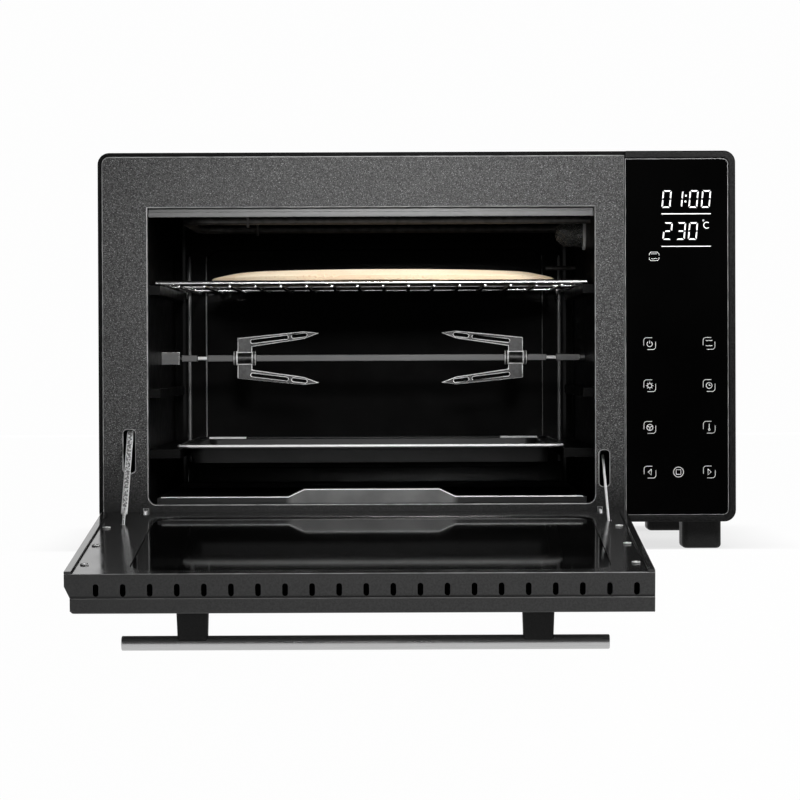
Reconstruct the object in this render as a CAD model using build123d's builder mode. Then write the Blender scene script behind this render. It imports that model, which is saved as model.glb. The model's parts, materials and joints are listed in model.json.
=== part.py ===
from build123d import *
from math import atan2, cos, degrees, radians, sin, tan
import os

os.makedirs("parts", exist_ok=True)

# Body of the oven
body_w = 550
body_h = 320
body_d = 385
body_z = 24
sheet = 1.0
corner_r = 10
rim = 3.4
frame_t = 1.2
front_flange = 8
foot_flange = 17
base_gap = 10
half_w = body_w / 2
mid_z = body_z + body_h / 2
top_z = body_z + body_h
base_z = body_z + sheet
base_top = base_z + frame_t

# Air slots in the casing
vent_w = 4
vent_pitch = 16
side_vent_l = 60
side_vent_n = 12
side_vent_rows = 110
side_vent_d = body_d / 2 + 40
rear_vent_l = 44
rear_vent_n = 20
rear_vent_pitch = 14
rear_vent_rows = 60
rear_vent_x = -40
base_vent_n = 10
base_vent_pitch = 14

# Round inlet and screws of the rear panel
inlet_x = half_w - 60
inlet_z = body_z + 56
inlet_r = 9
inlet_collar = 3
inlet_bore = 4
screw_inset = 15
screw_r = 3.6

# Feet, with the origin in the middle of the front left foot's sole
foot_side = 28
foot_front = 32.5
foot_rear = 72.5
foot_w = 34
foot_l = 35
rear_foot_w = 42
foot_gap = 0.5
foot_x = half_w - foot_side
rear_foot_x = foot_x - (rear_foot_w - foot_w) / 2
rear_foot_d = body_d - foot_rear

# Front frame: its borders round the cavity mouth
frame_left = 42.8
frame_right = 26.2
frame_low = 16.3
frame_high = 47.7
panel_w = 95.2
mouth_r = 7
panel_gap = 0.3
panel_x0 = half_w - panel_w
mouth_x0 = frame_left - half_w
mouth_x1 = panel_x0 - frame_right
mouth_z0 = body_z + frame_low
mouth_z1 = top_z - frame_high
mouth_x = (mouth_x0 + mouth_x1) / 2
mouth_z = (mouth_z0 + mouth_z1) / 2
mouth_w = mouth_x1 - mouth_x0
mouth_h = mouth_z1 - mouth_z0

# Cavity behind the mouth
wall_t = 0.8
cav_front = 8
cav_rear = 45
cav_step = 0.2
back_r = 13.5
field_side = 31
field_low = 19.5
field_high = 24.5
field_t = 2
lip_drop = 3.5
lip_h = 4.4
lip_out = 1.5
lip_gap = 0.4
cav_back = body_d - cav_rear
left_in = mouth_x0 - wall_t
right_in = mouth_x1 + wall_t
right_out = right_in + wall_t
cav_w = right_in - left_in
cav_x = mouth_x
floor_z = mouth_z0 + cav_step
roof_z = mouth_z1 + cav_step

# Shelf ledges pressed into both side walls: height of the top face and reach
rack_ledge_z = roof_z - 66.6
spare_ledge_z = floor_z + 99.5
tray_ledge_z = floor_z + 47
narrow_ledge = 10
wide_ledge = 27
ledge_h = 8
ledge_d0 = cav_front + 12
ledge_d1 = cav_back - 15

# Control column
panel_proud = 2.0
bezel_side = 6.2
bezel_low = 5.8
bezel_high = 6.6
bezel_edge = 0.8
glass_t = 3.0
glass_r = 5
glass_gap = 0.4
glass_x1 = half_w - bezel_side
glass_z0 = body_z + bezel_low
glass_z1 = top_z - bezel_high
board_in = 6
board_t = 1.6
display_w = 62
display_h = 70
display_t = 8
display_x1 = glass_x1 - board_in - 1
display_z1 = glass_z1 - board_in - 9

# Power board on its stand-offs
power_x = half_w - 43
power_d = 110
power_w = 56
power_l = 96
power_post_r = 3
power_post_h = 8
power_post_in = 5
relay_h = 18

# Door, on its hinge axis: y runs to the hinge, z out of the inner face
open_tilt = 5.75
hinge_y = -8
hinge_z = body_z + 4.5
door_side_in = 3.5
door_clear = 0.5
door_top_in = 4.5
door_back = 5
door_face = 5
pan_t = 18.7
pan_step = 4.3
pan_bevel = 9
outer_t = 12.3
outer_edge_r = 2
door_x0 = door_side_in - half_w
door_x1 = panel_x0 - door_clear
door_len = top_z - door_top_in - hinge_z + door_back
door_y0 = door_back - door_len
outer_x0 = door_x0 + pan_step
pan_low = door_face - pan_t
outer_low = pan_low - outer_t

# Door windows, panes, rails, screws and vents
window_x0 = door_x0 + 47.5
window_x1 = door_x1 - 31.3
window_y0 = door_y0 + 16
window_y1 = door_back - 28
window_r = 22
pane_lap = 7
pane_t = 4
outer_window_side = 44
outer_window_free = 43
outer_window_near = 53
outer_window_r = 12
rail_w = 5.5
rail_h = 2
rail_gap = 0.1
rail_back = 6
door_screw_in = 11.6
door_screw_end = 42.5
door_screw_pitch = 92.5
door_screw_r = 3.4
door_screw_h = 1.2
cross_l = 4.2
cross_w = 0.8
door_vent_n = 21
door_vent_l = 9.6
door_vent_w = 4.2
door_vent_in = 19.1
door_vent_z = 12.6

# Hinge tabs and pins
tab_t = 2.5
tab_left_x = mouth_x0 - 2.2
tab_right_x = mouth_x1 + 3.9
tab_r = 6.8
tab_foot = 9
tab_foot_t = 1.5
tab_back = 14
tab_room = 0.55
pin_r = 2.0
pin_l = 16
run_gap = 0.06
lug_t = 1.5
lug_room = 3.45

# Stay arms: pin in the door, rise when open, and the slots they run through
arm_left_x = mouth_x0 - 16
arm_left_y = -62
arm_left_rise = 46.4
arm_left_l = 125
arm_left_w = 5.5
arm_left_t = 2.2
arm_foot_l = 24
arm_left_foot_w = 2.4
arm_right_x = mouth_x1 + 8
arm_right_y = -50
arm_right_rise = 35.1
arm_right_l = 100
arm_right_w = 2.2
arm_right_t = 3.2
arm_eye_r = 4
slot_left_w = 10
slot_left_h = 37
slot_left_drop = 9
slot_right_w = 8.6
slot_right_h = 31
slot_right_lift = 6.3
slot_r = 3
arm_lug_t = 1.6
arm_lug_gap = 0.8

# Handle
handle_shift = 4.1
handle_x = (door_x0 + door_x1) / 2 + handle_shift
handle_l = 377
handle_r = 5.7
handle_wall = 1.2
handle_in = 28
handle_out = 28
handle_y = door_y0 + handle_in
handle_z = outer_low - handle_out
post_gap = 266.7
post_w = 25
post_l = 13

# Rotisserie drive, spit and forks
spit_d = 165
spit_z = floor_z + 126.1
spit_a = 6.0
spit_slack = 0.15
neck_r = 1.6
neck_l = 9
socket_r = 5.5
socket_out = 5
socket_l = 14
socket_deep = 11
motor_r = 24
motor_l = 24
gear_r = 16
gear_l = 16
block_w = 14
block_h = 12
block_l = 17
spit_stub = 14.6
spit_tail = 26
fork_t = 1.6
fork_left_in = 76.25
fork_right_in = 63.15
fork_left_x = left_in + fork_left_in
fork_right_x = right_in - fork_right_in
fork_hub_l = 20
fork_hub_r = 5.2
fork_flange_r = 6.5
fork_flange_t = 3
fork_plate = 13.5
prong_l = 68.3
prong_in = 10.5
prong_w = 8
prong_flare = 8.3
point_l = 14
rib_w = 3
thumb_r = 2.4
thumb_head = 12
thumb_head_t = 8
thumb_gap = 0.5

# Rack, stone and trays
bar_r = 2.25
wire_r = 1.4
wire_weld = 0.5
wire_over = 1.5
rack_gap = 6.7
rack_edge = 19.75
rack_corner = 9
rack_over = 4
rack_d0 = cav_front + 20
rack_d1 = cav_back - 18
wire_n = 16
rack_w = cav_w - 2 * rack_gap
rack_z = rack_ledge_z + bar_r
stone_r = 157
stone_t = 9.8
stone_round = 9
stone_x = cav_x + 9.3
stone_d = (rack_d0 + rack_d1) / 2
tray_seat = 3.3
tray_shift = 1.6
tray_lip = 11
tray_deep = 13
tray_taper = 12
tray_t = 1.2
tray_r = 14
tray_d0 = cav_front + 32
tray_d1 = cav_back - 7
tray_x = cav_x - tray_shift
tray_w = cav_w - 2 * wide_ledge + 2 * tray_seat
crumb_gap = 7.7
crumb_d0 = cav_front - 1
crumb_d1 = cav_back - 15
crumb_t = 0.8
crumb_h = 5.4
pull_h = 6.5
pull_w = 144.2
pull_top = 116.5

# Lamp
lamp_d = 150
lamp_z = roof_z - 17.5
dome_r = 12
dome_l = 36
dome_t = 1.6
dome_gap = 0.3
ring_w = 2.7
ring_t = 2.5
holder_r = 16
holder_l = 28
holder_deep = 8
socket_well = 10
bulb_r = 6
bulb_l = 22
bulb_base_r = 4

# Heaters and temperature probe
heater_r = 3.25
heater_bend = 25
heater_in = 28
heater_out = 34.8
upper_heater_z = roof_z - 8.5
upper_d0 = cav_front + 67
upper_d1 = cav_back - 75
lower_heater_z = (base_top + floor_z - wall_t) / 2
lower_d0 = cav_front + 72
lower_d1 = cav_back - 80
heater_x0 = left_in + heater_in
heater_x1 = right_out + heater_out
clip_x = left_in + 83
clip_w = 11
clip_t = 2
saddle_w = 10
saddle_l = 14
saddle_x0 = left_in + 73
saddle_x1 = right_in - 34.4
probe_rear = 40
probe_drop = 44.5
probe_d = cav_back - probe_rear
probe_z = roof_z - probe_drop
probe_r = 2
probe_l = 30
probe_head_r = 6

# Convection fan behind the right wall
fan_r = 40
fan_cover_gap = 5
fan_cover_t = 1
fan_cover_l = 27
fan_wheel_l = 15
fan_hub_r = 7
fan_blade_n = 8
fan_blade_t = 1.2
fan_motor_r = 19
fan_motor_l = 24
fan_hole_r = 3
fan_d = spit_d + motor_r + fan_r + 26
fan_z = spit_z + 17.4

cx = foot_x
fy = -foot_front
tilt_c = cos(radians(open_tilt))
tilt_s = sin(radians(open_tilt))


def front(d=0):
    # a plane across the oven, d behind the front, seen from the front
    return Plane(origin=(cx, fy + d, 0), x_dir=(1, 0, 0), z_dir=(0, -1, 0))


def level(z=0):
    # a horizontal plane, y measured back from the front
    return Plane(origin=(cx, fy, z), x_dir=(1, 0, 0), z_dir=(0, 0, 1))


def side(x=0):
    # an upright plane along the depth, seen from the right
    return Plane(origin=(cx + x, fy, 0), x_dir=(0, 1, 0), z_dir=(1, 0, 0))


hinge = Plane(
    origin=(cx, fy + hinge_y, hinge_z), x_dir=(1, 0, 0), z_dir=(0, -tilt_s, tilt_c)
)


def door_level(z=0):
    # a plane along the door's faces, z above the hinge axis
    return hinge.offset(z)


def door_end(y=0):
    # a plane across the door, seen from its free end
    spot = hinge.from_local_coords((0, y, 0))
    return Plane(origin=spot, x_dir=(1, 0, 0), z_dir=(0, -tilt_c, -tilt_s))


def door_side(x=0):
    # an upright plane along the door, seen from the right
    spot = hinge.from_local_coords((x, 0, 0))
    return Plane(origin=spot, x_dir=(0, tilt_c, tilt_s), z_dir=(1, 0, 0))


def arm_side(x, y, rise):
    # an upright plane along a stay arm, from its pin in the door
    spot = hinge.from_local_coords((x, y, 0))
    along = (0, cos(radians(rise)), sin(radians(rise)))
    return Plane(origin=spot, x_dir=along, z_dir=(1, 0, 0))


def arm_height(y, rise):
    # where an open stay arm crosses the front of the body
    run = -hinge_y - y * tilt_c
    return hinge_z + y * tilt_s + run * tan(radians(rise))


def patch(x0, x1, y0, y1, mode=Mode.ADD):
    # a rectangle between limits in the open sketch
    with Locations(((x0 + x1) / 2, (y0 + y1) / 2)):
        Rectangle(x1 - x0, y1 - y0, mode=mode)


def round_patch(x0, x1, y0, y1, r, mode=Mode.ADD):
    # a rectangle with rounded corners between limits in the open sketch
    with Locations(((x0 + x1) / 2, (y0 + y1) / 2)):
        RectangleRounded(x1 - x0, y1 - y0, r, mode=mode)


def rod(x0, x1, d, z, r, mode=Mode.ADD):
    # a round bar across the oven in the open part
    with BuildSketch(side(x0)) as section:
        with Locations((d, z)):
            Circle(r)
    extrude(section.sketch, amount=x1 - x0, mode=mode)


def square_bar(x0, x1, d, z, a, mode=Mode.ADD):
    # a square bar across the oven in the open part
    with BuildSketch(side(x0)) as section:
        with Locations((d, z)):
            Rectangle(a, a)
    extrude(section.sketch, amount=x1 - x0, mode=mode)


def save(piece, name):
    piece.part.label = name
    export_step(piece.part, f"parts/{name}.step")


# Outer shell: wrapped sheet over the top and sides, turned in along its front and foot
shell_l = body_d - frame_t - sheet
with BuildPart() as outer_shell:
    with BuildSketch(front(frame_t)):
        with Locations((0, mid_z)):
            RectangleRounded(body_w, body_h, corner_r)
            RectangleRounded(
                body_w - 2 * sheet,
                body_h - 2 * sheet,
                corner_r - sheet,
                mode=Mode.SUBTRACT,
            )
        patch(
            foot_flange - half_w,
            half_w - foot_flange,
            body_z - sheet,
            base_z + sheet / 2,
            Mode.SUBTRACT,
        )
    extrude(amount=-shell_l)
    with BuildSketch(front(frame_t)):
        with Locations((0, mid_z)):
            RectangleRounded(body_w, body_h, corner_r)
            Rectangle(
                body_w - 2 * front_flange, body_h - 2 * front_flange, mode=Mode.SUBTRACT
            )
        patch(-half_w, half_w, body_z, body_z + corner_r + sheet, Mode.SUBTRACT)
    extrude(amount=-sheet)
    # room for the feet in the turned-in foot
    with BuildSketch(level(body_z)):
        for foot_d, foot_mid, foot_wide in (
            (foot_front, foot_x, foot_w),
            (rear_foot_d, rear_foot_x, rear_foot_w),
        ):
            with Locations((0, foot_d)):
                with GridLocations(2 * foot_mid, 1, 2, 1):
                    Rectangle(foot_wide + 2 * foot_gap, foot_l + 2 * foot_gap)
    extrude(amount=2 * sheet, mode=Mode.SUBTRACT)
    # cooling slots in both sides
    with BuildSketch(side(-half_w)):
        with Locations((side_vent_d, mid_z)):
            with GridLocations(vent_pitch, side_vent_rows, side_vent_n, 2):
                SlotOverall(side_vent_l, vent_w, rotation=90)
    extrude(amount=body_w, mode=Mode.SUBTRACT)
save(outer_shell, "outer_shell")

# Base plate: rests on the shell's turned-in foot, with air slots under the electronics
with BuildPart() as base_plate:
    with BuildSketch(level(base_z)):
        patch(base_gap - half_w, half_w - base_gap, frame_t + sheet, body_d - sheet)
        with Locations((inlet_x, body_d / 2 + base_vent_pitch * 2)):
            with GridLocations(1, base_vent_pitch, 1, base_vent_n):
                SlotOverall(side_vent_l, vent_w, mode=Mode.SUBTRACT)
    extrude(amount=frame_t)
save(base_plate, "base_plate")

# Rear panel: closes the back, with air slots and the hole of the inlet
with BuildPart() as rear_panel:
    with BuildSketch(front(body_d - sheet)):
        with Locations((0, mid_z)):
            RectangleRounded(body_w, body_h, corner_r)
        with Locations((rear_vent_x, mid_z + rear_vent_rows)):
            with GridLocations(rear_vent_pitch, rear_vent_rows, rear_vent_n, 2):
                SlotOverall(rear_vent_l, vent_w, rotation=90, mode=Mode.SUBTRACT)
        with Locations((inlet_x, inlet_z)):
            Circle(inlet_r, mode=Mode.SUBTRACT)
    extrude(amount=-sheet)
save(rear_panel, "rear_panel")

# Cord bushing: the round inlet, a collar outside and a sleeve through the rear panel
collar_t = 6
sleeve_l = 8
with BuildPart() as cord_bushing:
    with BuildSketch(front(body_d)):
        with Locations((inlet_x, inlet_z)):
            Circle(inlet_r + inlet_collar)
    extrude(amount=-collar_t)
    fillet(cord_bushing.edges().group_by(Axis.Y)[-1], collar_t / 3)
    with BuildSketch(front(body_d)):
        with Locations((inlet_x, inlet_z)):
            Circle(inlet_r)
    extrude(amount=sleeve_l)
    with BuildSketch(front(body_d + collar_t)):
        with Locations((inlet_x, inlet_z)):
            Circle(inlet_bore)
    extrude(amount=collar_t + sleeve_l, mode=Mode.SUBTRACT)
save(cord_bushing, "cord_bushing")

# Rear screws: hold the rear panel to the shell
screw_h = 2.2
with BuildPart() as rear_screws:
    with BuildSketch(front(body_d)):
        with Locations((0, mid_z)):
            with GridLocations(
                body_w - 2 * screw_inset, body_h / 2 - 2 * screw_inset, 2, 3
            ):
                Circle(screw_r)
    extrude(amount=-screw_h)
    fillet(rear_screws.edges().group_by(Axis.Y)[-1], screw_h / 2)
save(rear_screws, "rear_screws")

# Front frame: painted sheet round the mouth with a folded edge and the two arm slots
slot_left_z = arm_height(arm_left_y, arm_left_rise) - slot_left_drop
slot_right_z = arm_height(arm_right_y, arm_right_rise) + slot_right_lift
with BuildPart() as front_frame:
    with BuildSketch(front()):
        patch(rim - half_w, panel_x0 - panel_gap, body_z + rim, top_z - rim)
        fillet(vertices().group_by(Axis.X)[0], corner_r - rim)
    extrude(amount=-frame_t)
    with BuildSketch(front(frame_t)):
        with Locations((mouth_x, mouth_z)):
            Rectangle(mouth_w + 2 * wall_t, mouth_h + 2 * wall_t)
        fillet(vertices().group_by(Axis.Y)[0], mouth_r + wall_t)
    extrude(amount=frame_t - cav_front)
    with BuildSketch(front()):
        with Locations((mouth_x, mouth_z)):
            Rectangle(mouth_w, mouth_h)
        fillet(vertices().group_by(Axis.Y)[0], mouth_r)
    extrude(amount=-2 * cav_front, mode=Mode.SUBTRACT)
    with BuildSketch(front()):
        with Locations((arm_left_x - 0.5, slot_left_z)):
            RectangleRounded(slot_left_w, slot_left_h, slot_r)
        with Locations((arm_right_x, slot_right_z)):
            RectangleRounded(slot_right_w, slot_right_h, slot_r)
        for tab_x in (tab_left_x, tab_right_x):
            patch(
                tab_x - tab_t / 2 - tab_room,
                tab_x + tab_t / 2 + tab_room,
                body_z,
                hinge_z + tab_r + 2 * tab_room,
            )
    extrude(amount=-2 * frame_t, mode=Mode.SUBTRACT)
save(front_frame, "front_frame")

# Cavity side walls: enamelled sheet with three pressed shelf ledges each
ledges = (
    (rack_ledge_z, narrow_ledge),
    (spare_ledge_z, narrow_ledge),
    (tray_ledge_z, wide_ledge),
)
for wall_name, x_in, out in (
    ("cavity_left_wall", left_in, -1),
    ("cavity_right_wall", right_in, 1),
):
    with BuildPart() as cavity_wall:
        with BuildSketch(side(x_in)):
            patch(cav_front, cav_back, floor_z, roof_z)
        extrude(amount=out * wall_t)
        for ledge_z, reach in ledges:
            with BuildSketch(side(x_in)):
                patch(ledge_d0, ledge_d1, ledge_z - ledge_h, ledge_z)
            extrude(amount=-out * reach)
            with BuildSketch(side(x_in + out * wall_t)):
                patch(
                    ledge_d0 + wall_t,
                    ledge_d1 - wall_t,
                    ledge_z - ledge_h + wall_t,
                    ledge_z - wall_t,
                )
            extrude(amount=-out * reach, mode=Mode.SUBTRACT)
        if out > 0:
            # holes for the drive socket, lamp, upper heater, probe and fan
            with BuildSketch(side(x_in)):
                with Locations((spit_d, spit_z)):
                    Circle(socket_r + 1)
                with Locations((lamp_d, lamp_z)):
                    Circle(dome_r + dome_gap)
                with Locations((upper_d0, upper_heater_z), (upper_d1, upper_heater_z)):
                    Circle(heater_r + dome_gap)
                with Locations((probe_d, probe_z)):
                    Circle(probe_r + dome_gap)
                with Locations((fan_d, fan_z)):
                    Circle(fan_hole_r)
                    with PolarLocations(fan_r / 3, 6):
                        Circle(fan_hole_r)
                    with PolarLocations(fan_r * 2 / 3, 12):
                        Circle(fan_hole_r)
            extrude(amount=wall_t, mode=Mode.SUBTRACT)
    save(cavity_wall, wall_name)

# Cavity roof with the bare lip that hangs behind the top of the mouth
lip_top = roof_z - lip_drop
with BuildPart() as cavity_roof:
    with BuildSketch(side(left_in - wall_t)):
        patch(cav_front, cav_back, roof_z, roof_z + wall_t)
    extrude(amount=cav_w + 2 * wall_t)
    with BuildSketch(side(mouth_x0 + lip_gap)):
        patch(cav_front, cav_front + sheet, lip_top, roof_z)
        patch(cav_front - lip_out, cav_front + sheet, lip_top - lip_h, lip_top)
    extrude(amount=mouth_w - 2 * lip_gap)
save(cavity_roof, "cavity_roof")

# Cavity floor, held clear of the base plate by the walls
with BuildPart() as cavity_floor:
    with BuildSketch(level(floor_z)):
        patch(left_in - wall_t, right_out, cav_front, cav_back)
    extrude(amount=-wall_t)
save(cavity_floor, "cavity_floor")

# Cavity back wall with rounded corners and a raised field
with BuildPart() as cavity_back_wall:
    with BuildSketch(front(cav_back)):
        patch(left_in - wall_t, right_out, floor_z - wall_t, roof_z + wall_t)
    extrude(amount=-wall_t)
    with BuildSketch(level(floor_z)):
        patch(left_in, left_in + back_r, cav_back - back_r, cav_back)
        patch(right_in - back_r, right_in, cav_back - back_r, cav_back)
        with Locations(
            (left_in + back_r, cav_back - back_r), (right_in - back_r, cav_back - back_r)
        ):
            Circle(back_r, mode=Mode.SUBTRACT)
    extrude(amount=roof_z - floor_z)
    with BuildSketch(front(cav_back)):
        round_patch(
            left_in + field_side,
            right_in - field_side,
            floor_z + field_low,
            roof_z - field_high,
            back_r,
        )
    extrude(amount=field_t)
    fillet(
        cavity_back_wall.faces().filter_by(Axis.Y).sort_by(Axis.Y)[0].edges(),
        field_t * 0.7,
    )
save(cavity_back_wall, "cavity_back_wall")

# Heaters: bent sheathed tubes, one below the roof and one hidden under the floor,
# with their ends in the right compartment
for heater_name, heater_z, leg_d0, leg_d1 in (
    ("upper_heater", upper_heater_z, upper_d0, upper_d1),
    ("lower_heater", lower_heater_z, lower_d0, lower_d1),
):
    with BuildPart() as heater:
        with BuildLine(level(heater_z)) as run:
            FilletPolyline(
                (heater_x1, leg_d0),
                (heater_x0, leg_d0),
                (heater_x0, leg_d1),
                (heater_x1, leg_d1),
                radius=heater_bend,
            )
        with BuildSketch(Plane(origin=run.line @ 0, z_dir=run.line % 0)):
            Circle(heater_r)
        sweep()
    save(heater, heater_name)

# Heater clips: hang the upper heater from the roof
with BuildPart() as heater_clips:
    with BuildSketch(side(clip_x)):
        for leg_d in (upper_d0, upper_d1):
            patch(
                leg_d - clip_w / 2,
                leg_d + clip_w / 2,
                upper_heater_z - heater_r - clip_t,
                roof_z,
            )
            with Locations((leg_d, upper_heater_z)):
                Circle(heater_r, mode=Mode.SUBTRACT)
    extrude(amount=clip_t)
save(heater_clips, "heater_clips")

# Heater saddles: carry the lower heater on the base plate
with BuildPart() as heater_saddles:
    with BuildSketch(level(base_top)):
        with Locations(
            (saddle_x0, lower_d0),
            (saddle_x1, lower_d0),
            (saddle_x0, lower_d1),
            (saddle_x1, lower_d1),
        ):
            Rectangle(saddle_w, saddle_l)
    extrude(amount=lower_heater_z - base_top)
    for leg_d in (lower_d0, lower_d1):
        rod(heater_x0, heater_x1, leg_d, lower_heater_z, heater_r, Mode.SUBTRACT)
save(heater_saddles, "heater_saddles")

# Lamp holder: ceramic cup behind the right wall
well_x = right_out + holder_deep
with BuildPart() as lamp_holder:
    rod(right_out, right_out + holder_l, lamp_d, lamp_z, holder_r)
    rod(right_out, well_x, lamp_d, lamp_z, dome_r + dome_gap, Mode.SUBTRACT)
    rod(well_x, well_x + socket_well, lamp_d, lamp_z, bulb_base_r, Mode.SUBTRACT)
save(lamp_holder, "lamp_holder")

# Lamp bulb: glass capsule standing in the holder
bulb_x = well_x - bulb_base_r
with BuildPart() as lamp_bulb:
    rod(bulb_x - bulb_l / 2, well_x + socket_well, lamp_d, lamp_z, bulb_base_r)
    rod(bulb_x - bulb_l, bulb_x, lamp_d, lamp_z, bulb_r)
    fillet(lamp_bulb.edges().group_by(Axis.X)[0], bulb_r * 0.9)
save(lamp_bulb, "lamp_bulb")

# Lamp cover: clear glass dome over the bulb
with BuildPart() as lamp_cover:
    rod(well_x - dome_l, well_x, lamp_d, lamp_z, dome_r)
    fillet(lamp_cover.edges().group_by(Axis.X)[0], dome_r * 0.9)
    offset(amount=-dome_t, openings=lamp_cover.faces().sort_by(Axis.X)[-1])
save(lamp_cover, "lamp_cover")

# Lamp ring: bright collar round the dome on the wall
with BuildPart() as lamp_ring:
    rod(right_in - ring_t, right_in, lamp_d, lamp_z, dome_r + dome_gap + ring_w)
    rod(right_in - ring_t, right_in, lamp_d, lamp_z, dome_r + dome_gap, Mode.SUBTRACT)
save(lamp_ring, "lamp_ring")

# Temperature probe: thin rod through the right wall
with BuildPart() as temperature_probe:
    rod(right_out, right_out + probe_head_r, probe_d, probe_z, probe_head_r)
    rod(right_out - probe_l, right_out, probe_d, probe_z, probe_r)
save(temperature_probe, "temperature_probe")

# Spit motor: round gear motor on the outside of the right wall
socket_x = right_in - socket_out
with BuildPart() as spit_motor:
    rod(right_out, right_out + motor_l, spit_d, spit_z, motor_r)
    rod(right_out + motor_l, right_out + motor_l + gear_l, spit_d, spit_z, gear_r)
    rod(right_out, socket_x + socket_l + 1, spit_d, spit_z, socket_r + run_gap, Mode.SUBTRACT)
save(spit_motor, "spit_motor")

# Drive socket: the motor's output sleeve, square inside, reaching through the wall
spit_hole = spit_a + 2 * spit_slack
with BuildPart() as drive_socket:
    rod(socket_x, socket_x + socket_l, spit_d, spit_z, socket_r)
    square_bar(
        socket_x, socket_x + socket_deep, spit_d, spit_z, spit_hole, Mode.SUBTRACT
    )
save(drive_socket, "drive_socket")

# Spit support: bored block on the left wall
block_x = left_in + block_l
with BuildPart() as spit_support:
    with BuildSketch(side(left_in)):
        with Locations((spit_d, spit_z)):
            Rectangle(block_w, block_h)
    extrude(amount=block_l)
    rod(left_in + block_l / 3, block_x, spit_d, spit_z, pin_r + run_gap, Mode.SUBTRACT)
save(spit_support, "spit_support")

# Spit rod: square bar with two turned necks and a round end pin
stub_x0 = block_x + spit_a / 4
stub_x1 = stub_x0 + spit_stub
tail_x0 = right_in - spit_tail
tail_x1 = socket_x + socket_deep - 1
with BuildPart() as spit_rod:
    rod(left_in + block_l / 3 + 0.5, stub_x0, spit_d, spit_z, pin_r)
    square_bar(stub_x0, stub_x1, spit_d, spit_z, spit_a)
    rod(stub_x1, stub_x1 + neck_l, spit_d, spit_z, neck_r)
    square_bar(stub_x1 + neck_l, tail_x0 - neck_l, spit_d, spit_z, spit_a)
    rod(tail_x0 - neck_l, tail_x0, spit_d, spit_z, neck_r)
    square_bar(tail_x0, tail_x1, spit_d, spit_z, spit_a)
save(spit_rod, "spit_rod")

# Spit forks: flat two-pronged plates welded to spool hubs that slide on the bar
prong_out = prong_in + prong_w
slope = atan2(prong_flare, prong_l)
for fork_name, screw_name, mid_x, way in (
    ("fork_left", "thumb_screw_left", fork_left_x, 1),
    ("fork_right", "thumb_screw_right", fork_right_x, -1),
):
    out_x = mid_x - way * fork_plate / 2
    in_x = mid_x + way * fork_plate / 2
    tip_x = mid_x + way * prong_l
    with BuildPart() as fork:
        with BuildSketch(front(spit_d)):
            with Locations((mid_x, spit_z)):
                Rectangle(fork_plate, 2 * prong_out - 3)
            for up in (1, -1):
                with BuildLine():
                    Polyline(
                        (out_x, spit_z + up * (prong_in - 1)),
                        (out_x, spit_z + up * prong_out),
                        (tip_x - way * point_l, spit_z + up * (prong_out + 6)),
                        (tip_x, spit_z + up * (prong_in + prong_w / 2 + prong_flare)),
                        (tip_x - way * point_l, spit_z + up * (prong_in + 7)),
                        (in_x, spit_z + up * prong_in),
                        close=True,
                    )
                make_face()
                # pressed slots along the prong
                for share, rib_l in ((0.33, prong_l / 2), (0.73, prong_l / 5)):
                    rib_spot = (
                        mid_x + way * share * prong_l,
                        spit_z + up * (prong_in + prong_w / 2 + share * prong_flare),
                    )
                    with Locations(rib_spot):
                        SlotOverall(
                            rib_l,
                            rib_w,
                            rotation=up * way * degrees(slope),
                            mode=Mode.SUBTRACT,
                        )
        extrude(amount=fork_t / 2, both=True)
        hub_x = mid_x - fork_hub_l / 2
        rod(hub_x, hub_x + fork_hub_l, spit_d, spit_z, fork_hub_r)
        for flange_x in (hub_x, hub_x + fork_hub_l - fork_flange_t):
            rod(flange_x, flange_x + fork_flange_t, spit_d, spit_z, fork_flange_r)
        square_bar(
            mid_x - fork_hub_l,
            mid_x + fork_hub_l,
            spit_d,
            spit_z,
            spit_hole,
            Mode.SUBTRACT,
        )
        with BuildSketch(front(spit_d)):
            with Locations((mid_x, spit_z)):
                Circle(thumb_r + run_gap)
        extrude(amount=-fork_hub_l, mode=Mode.SUBTRACT)
    save(fork, fork_name)
    # thumb screw: locks the hub on the bar from behind
    head_d = spit_d + fork_flange_r + 1
    tip_d = spit_d + spit_a / 2 + thumb_gap
    with BuildPart() as thumb_screw:
        with BuildSketch(front(tip_d)):
            with Locations((mid_x, spit_z)):
                Circle(thumb_r)
        extrude(amount=tip_d - head_d)
        with BuildSketch(front(head_d)):
            with Locations((mid_x, spit_z)):
                RegularPolygon(thumb_head / 2, 12)
        extrude(amount=-thumb_head_t)
    save(thumb_screw, screw_name)

# Wire rack: welded bars and wires that rest on the upper ledges
rack_x0 = cav_x - rack_w / 2 + bar_r
rack_x1 = cav_x + rack_w / 2 - bar_r
with BuildPart() as wire_rack:
    with BuildLine(level(rack_z)) as rack_loop:
        FilletPolyline(
            (rack_x0, rack_d0),
            (rack_x0, rack_d1),
            (rack_x1, rack_d1),
            (rack_x1, rack_d0),
            radius=rack_corner,
        )
    with BuildSketch(Plane(origin=rack_loop.line @ 0, z_dir=rack_loop.line % 0)):
        Circle(bar_r)
    sweep()
    rod(rack_x0 - rack_over, rack_x1 + rack_over, rack_d0, rack_z, bar_r)
    rod(rack_x0, rack_x1, stone_d - bar_r, rack_z, bar_r * 0.8)
    with BuildSketch(front(rack_d0 - wire_over)):
        with Locations((cav_x - 1, rack_z - bar_r - wire_r + wire_weld)):
            with GridLocations((rack_w - 2 * rack_edge) / (wire_n - 1), 1, wire_n, 1):
                Circle(wire_r)
    extrude(amount=rack_d0 - rack_d1 - 2 * wire_over)
save(wire_rack, "wire_rack")

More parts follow.
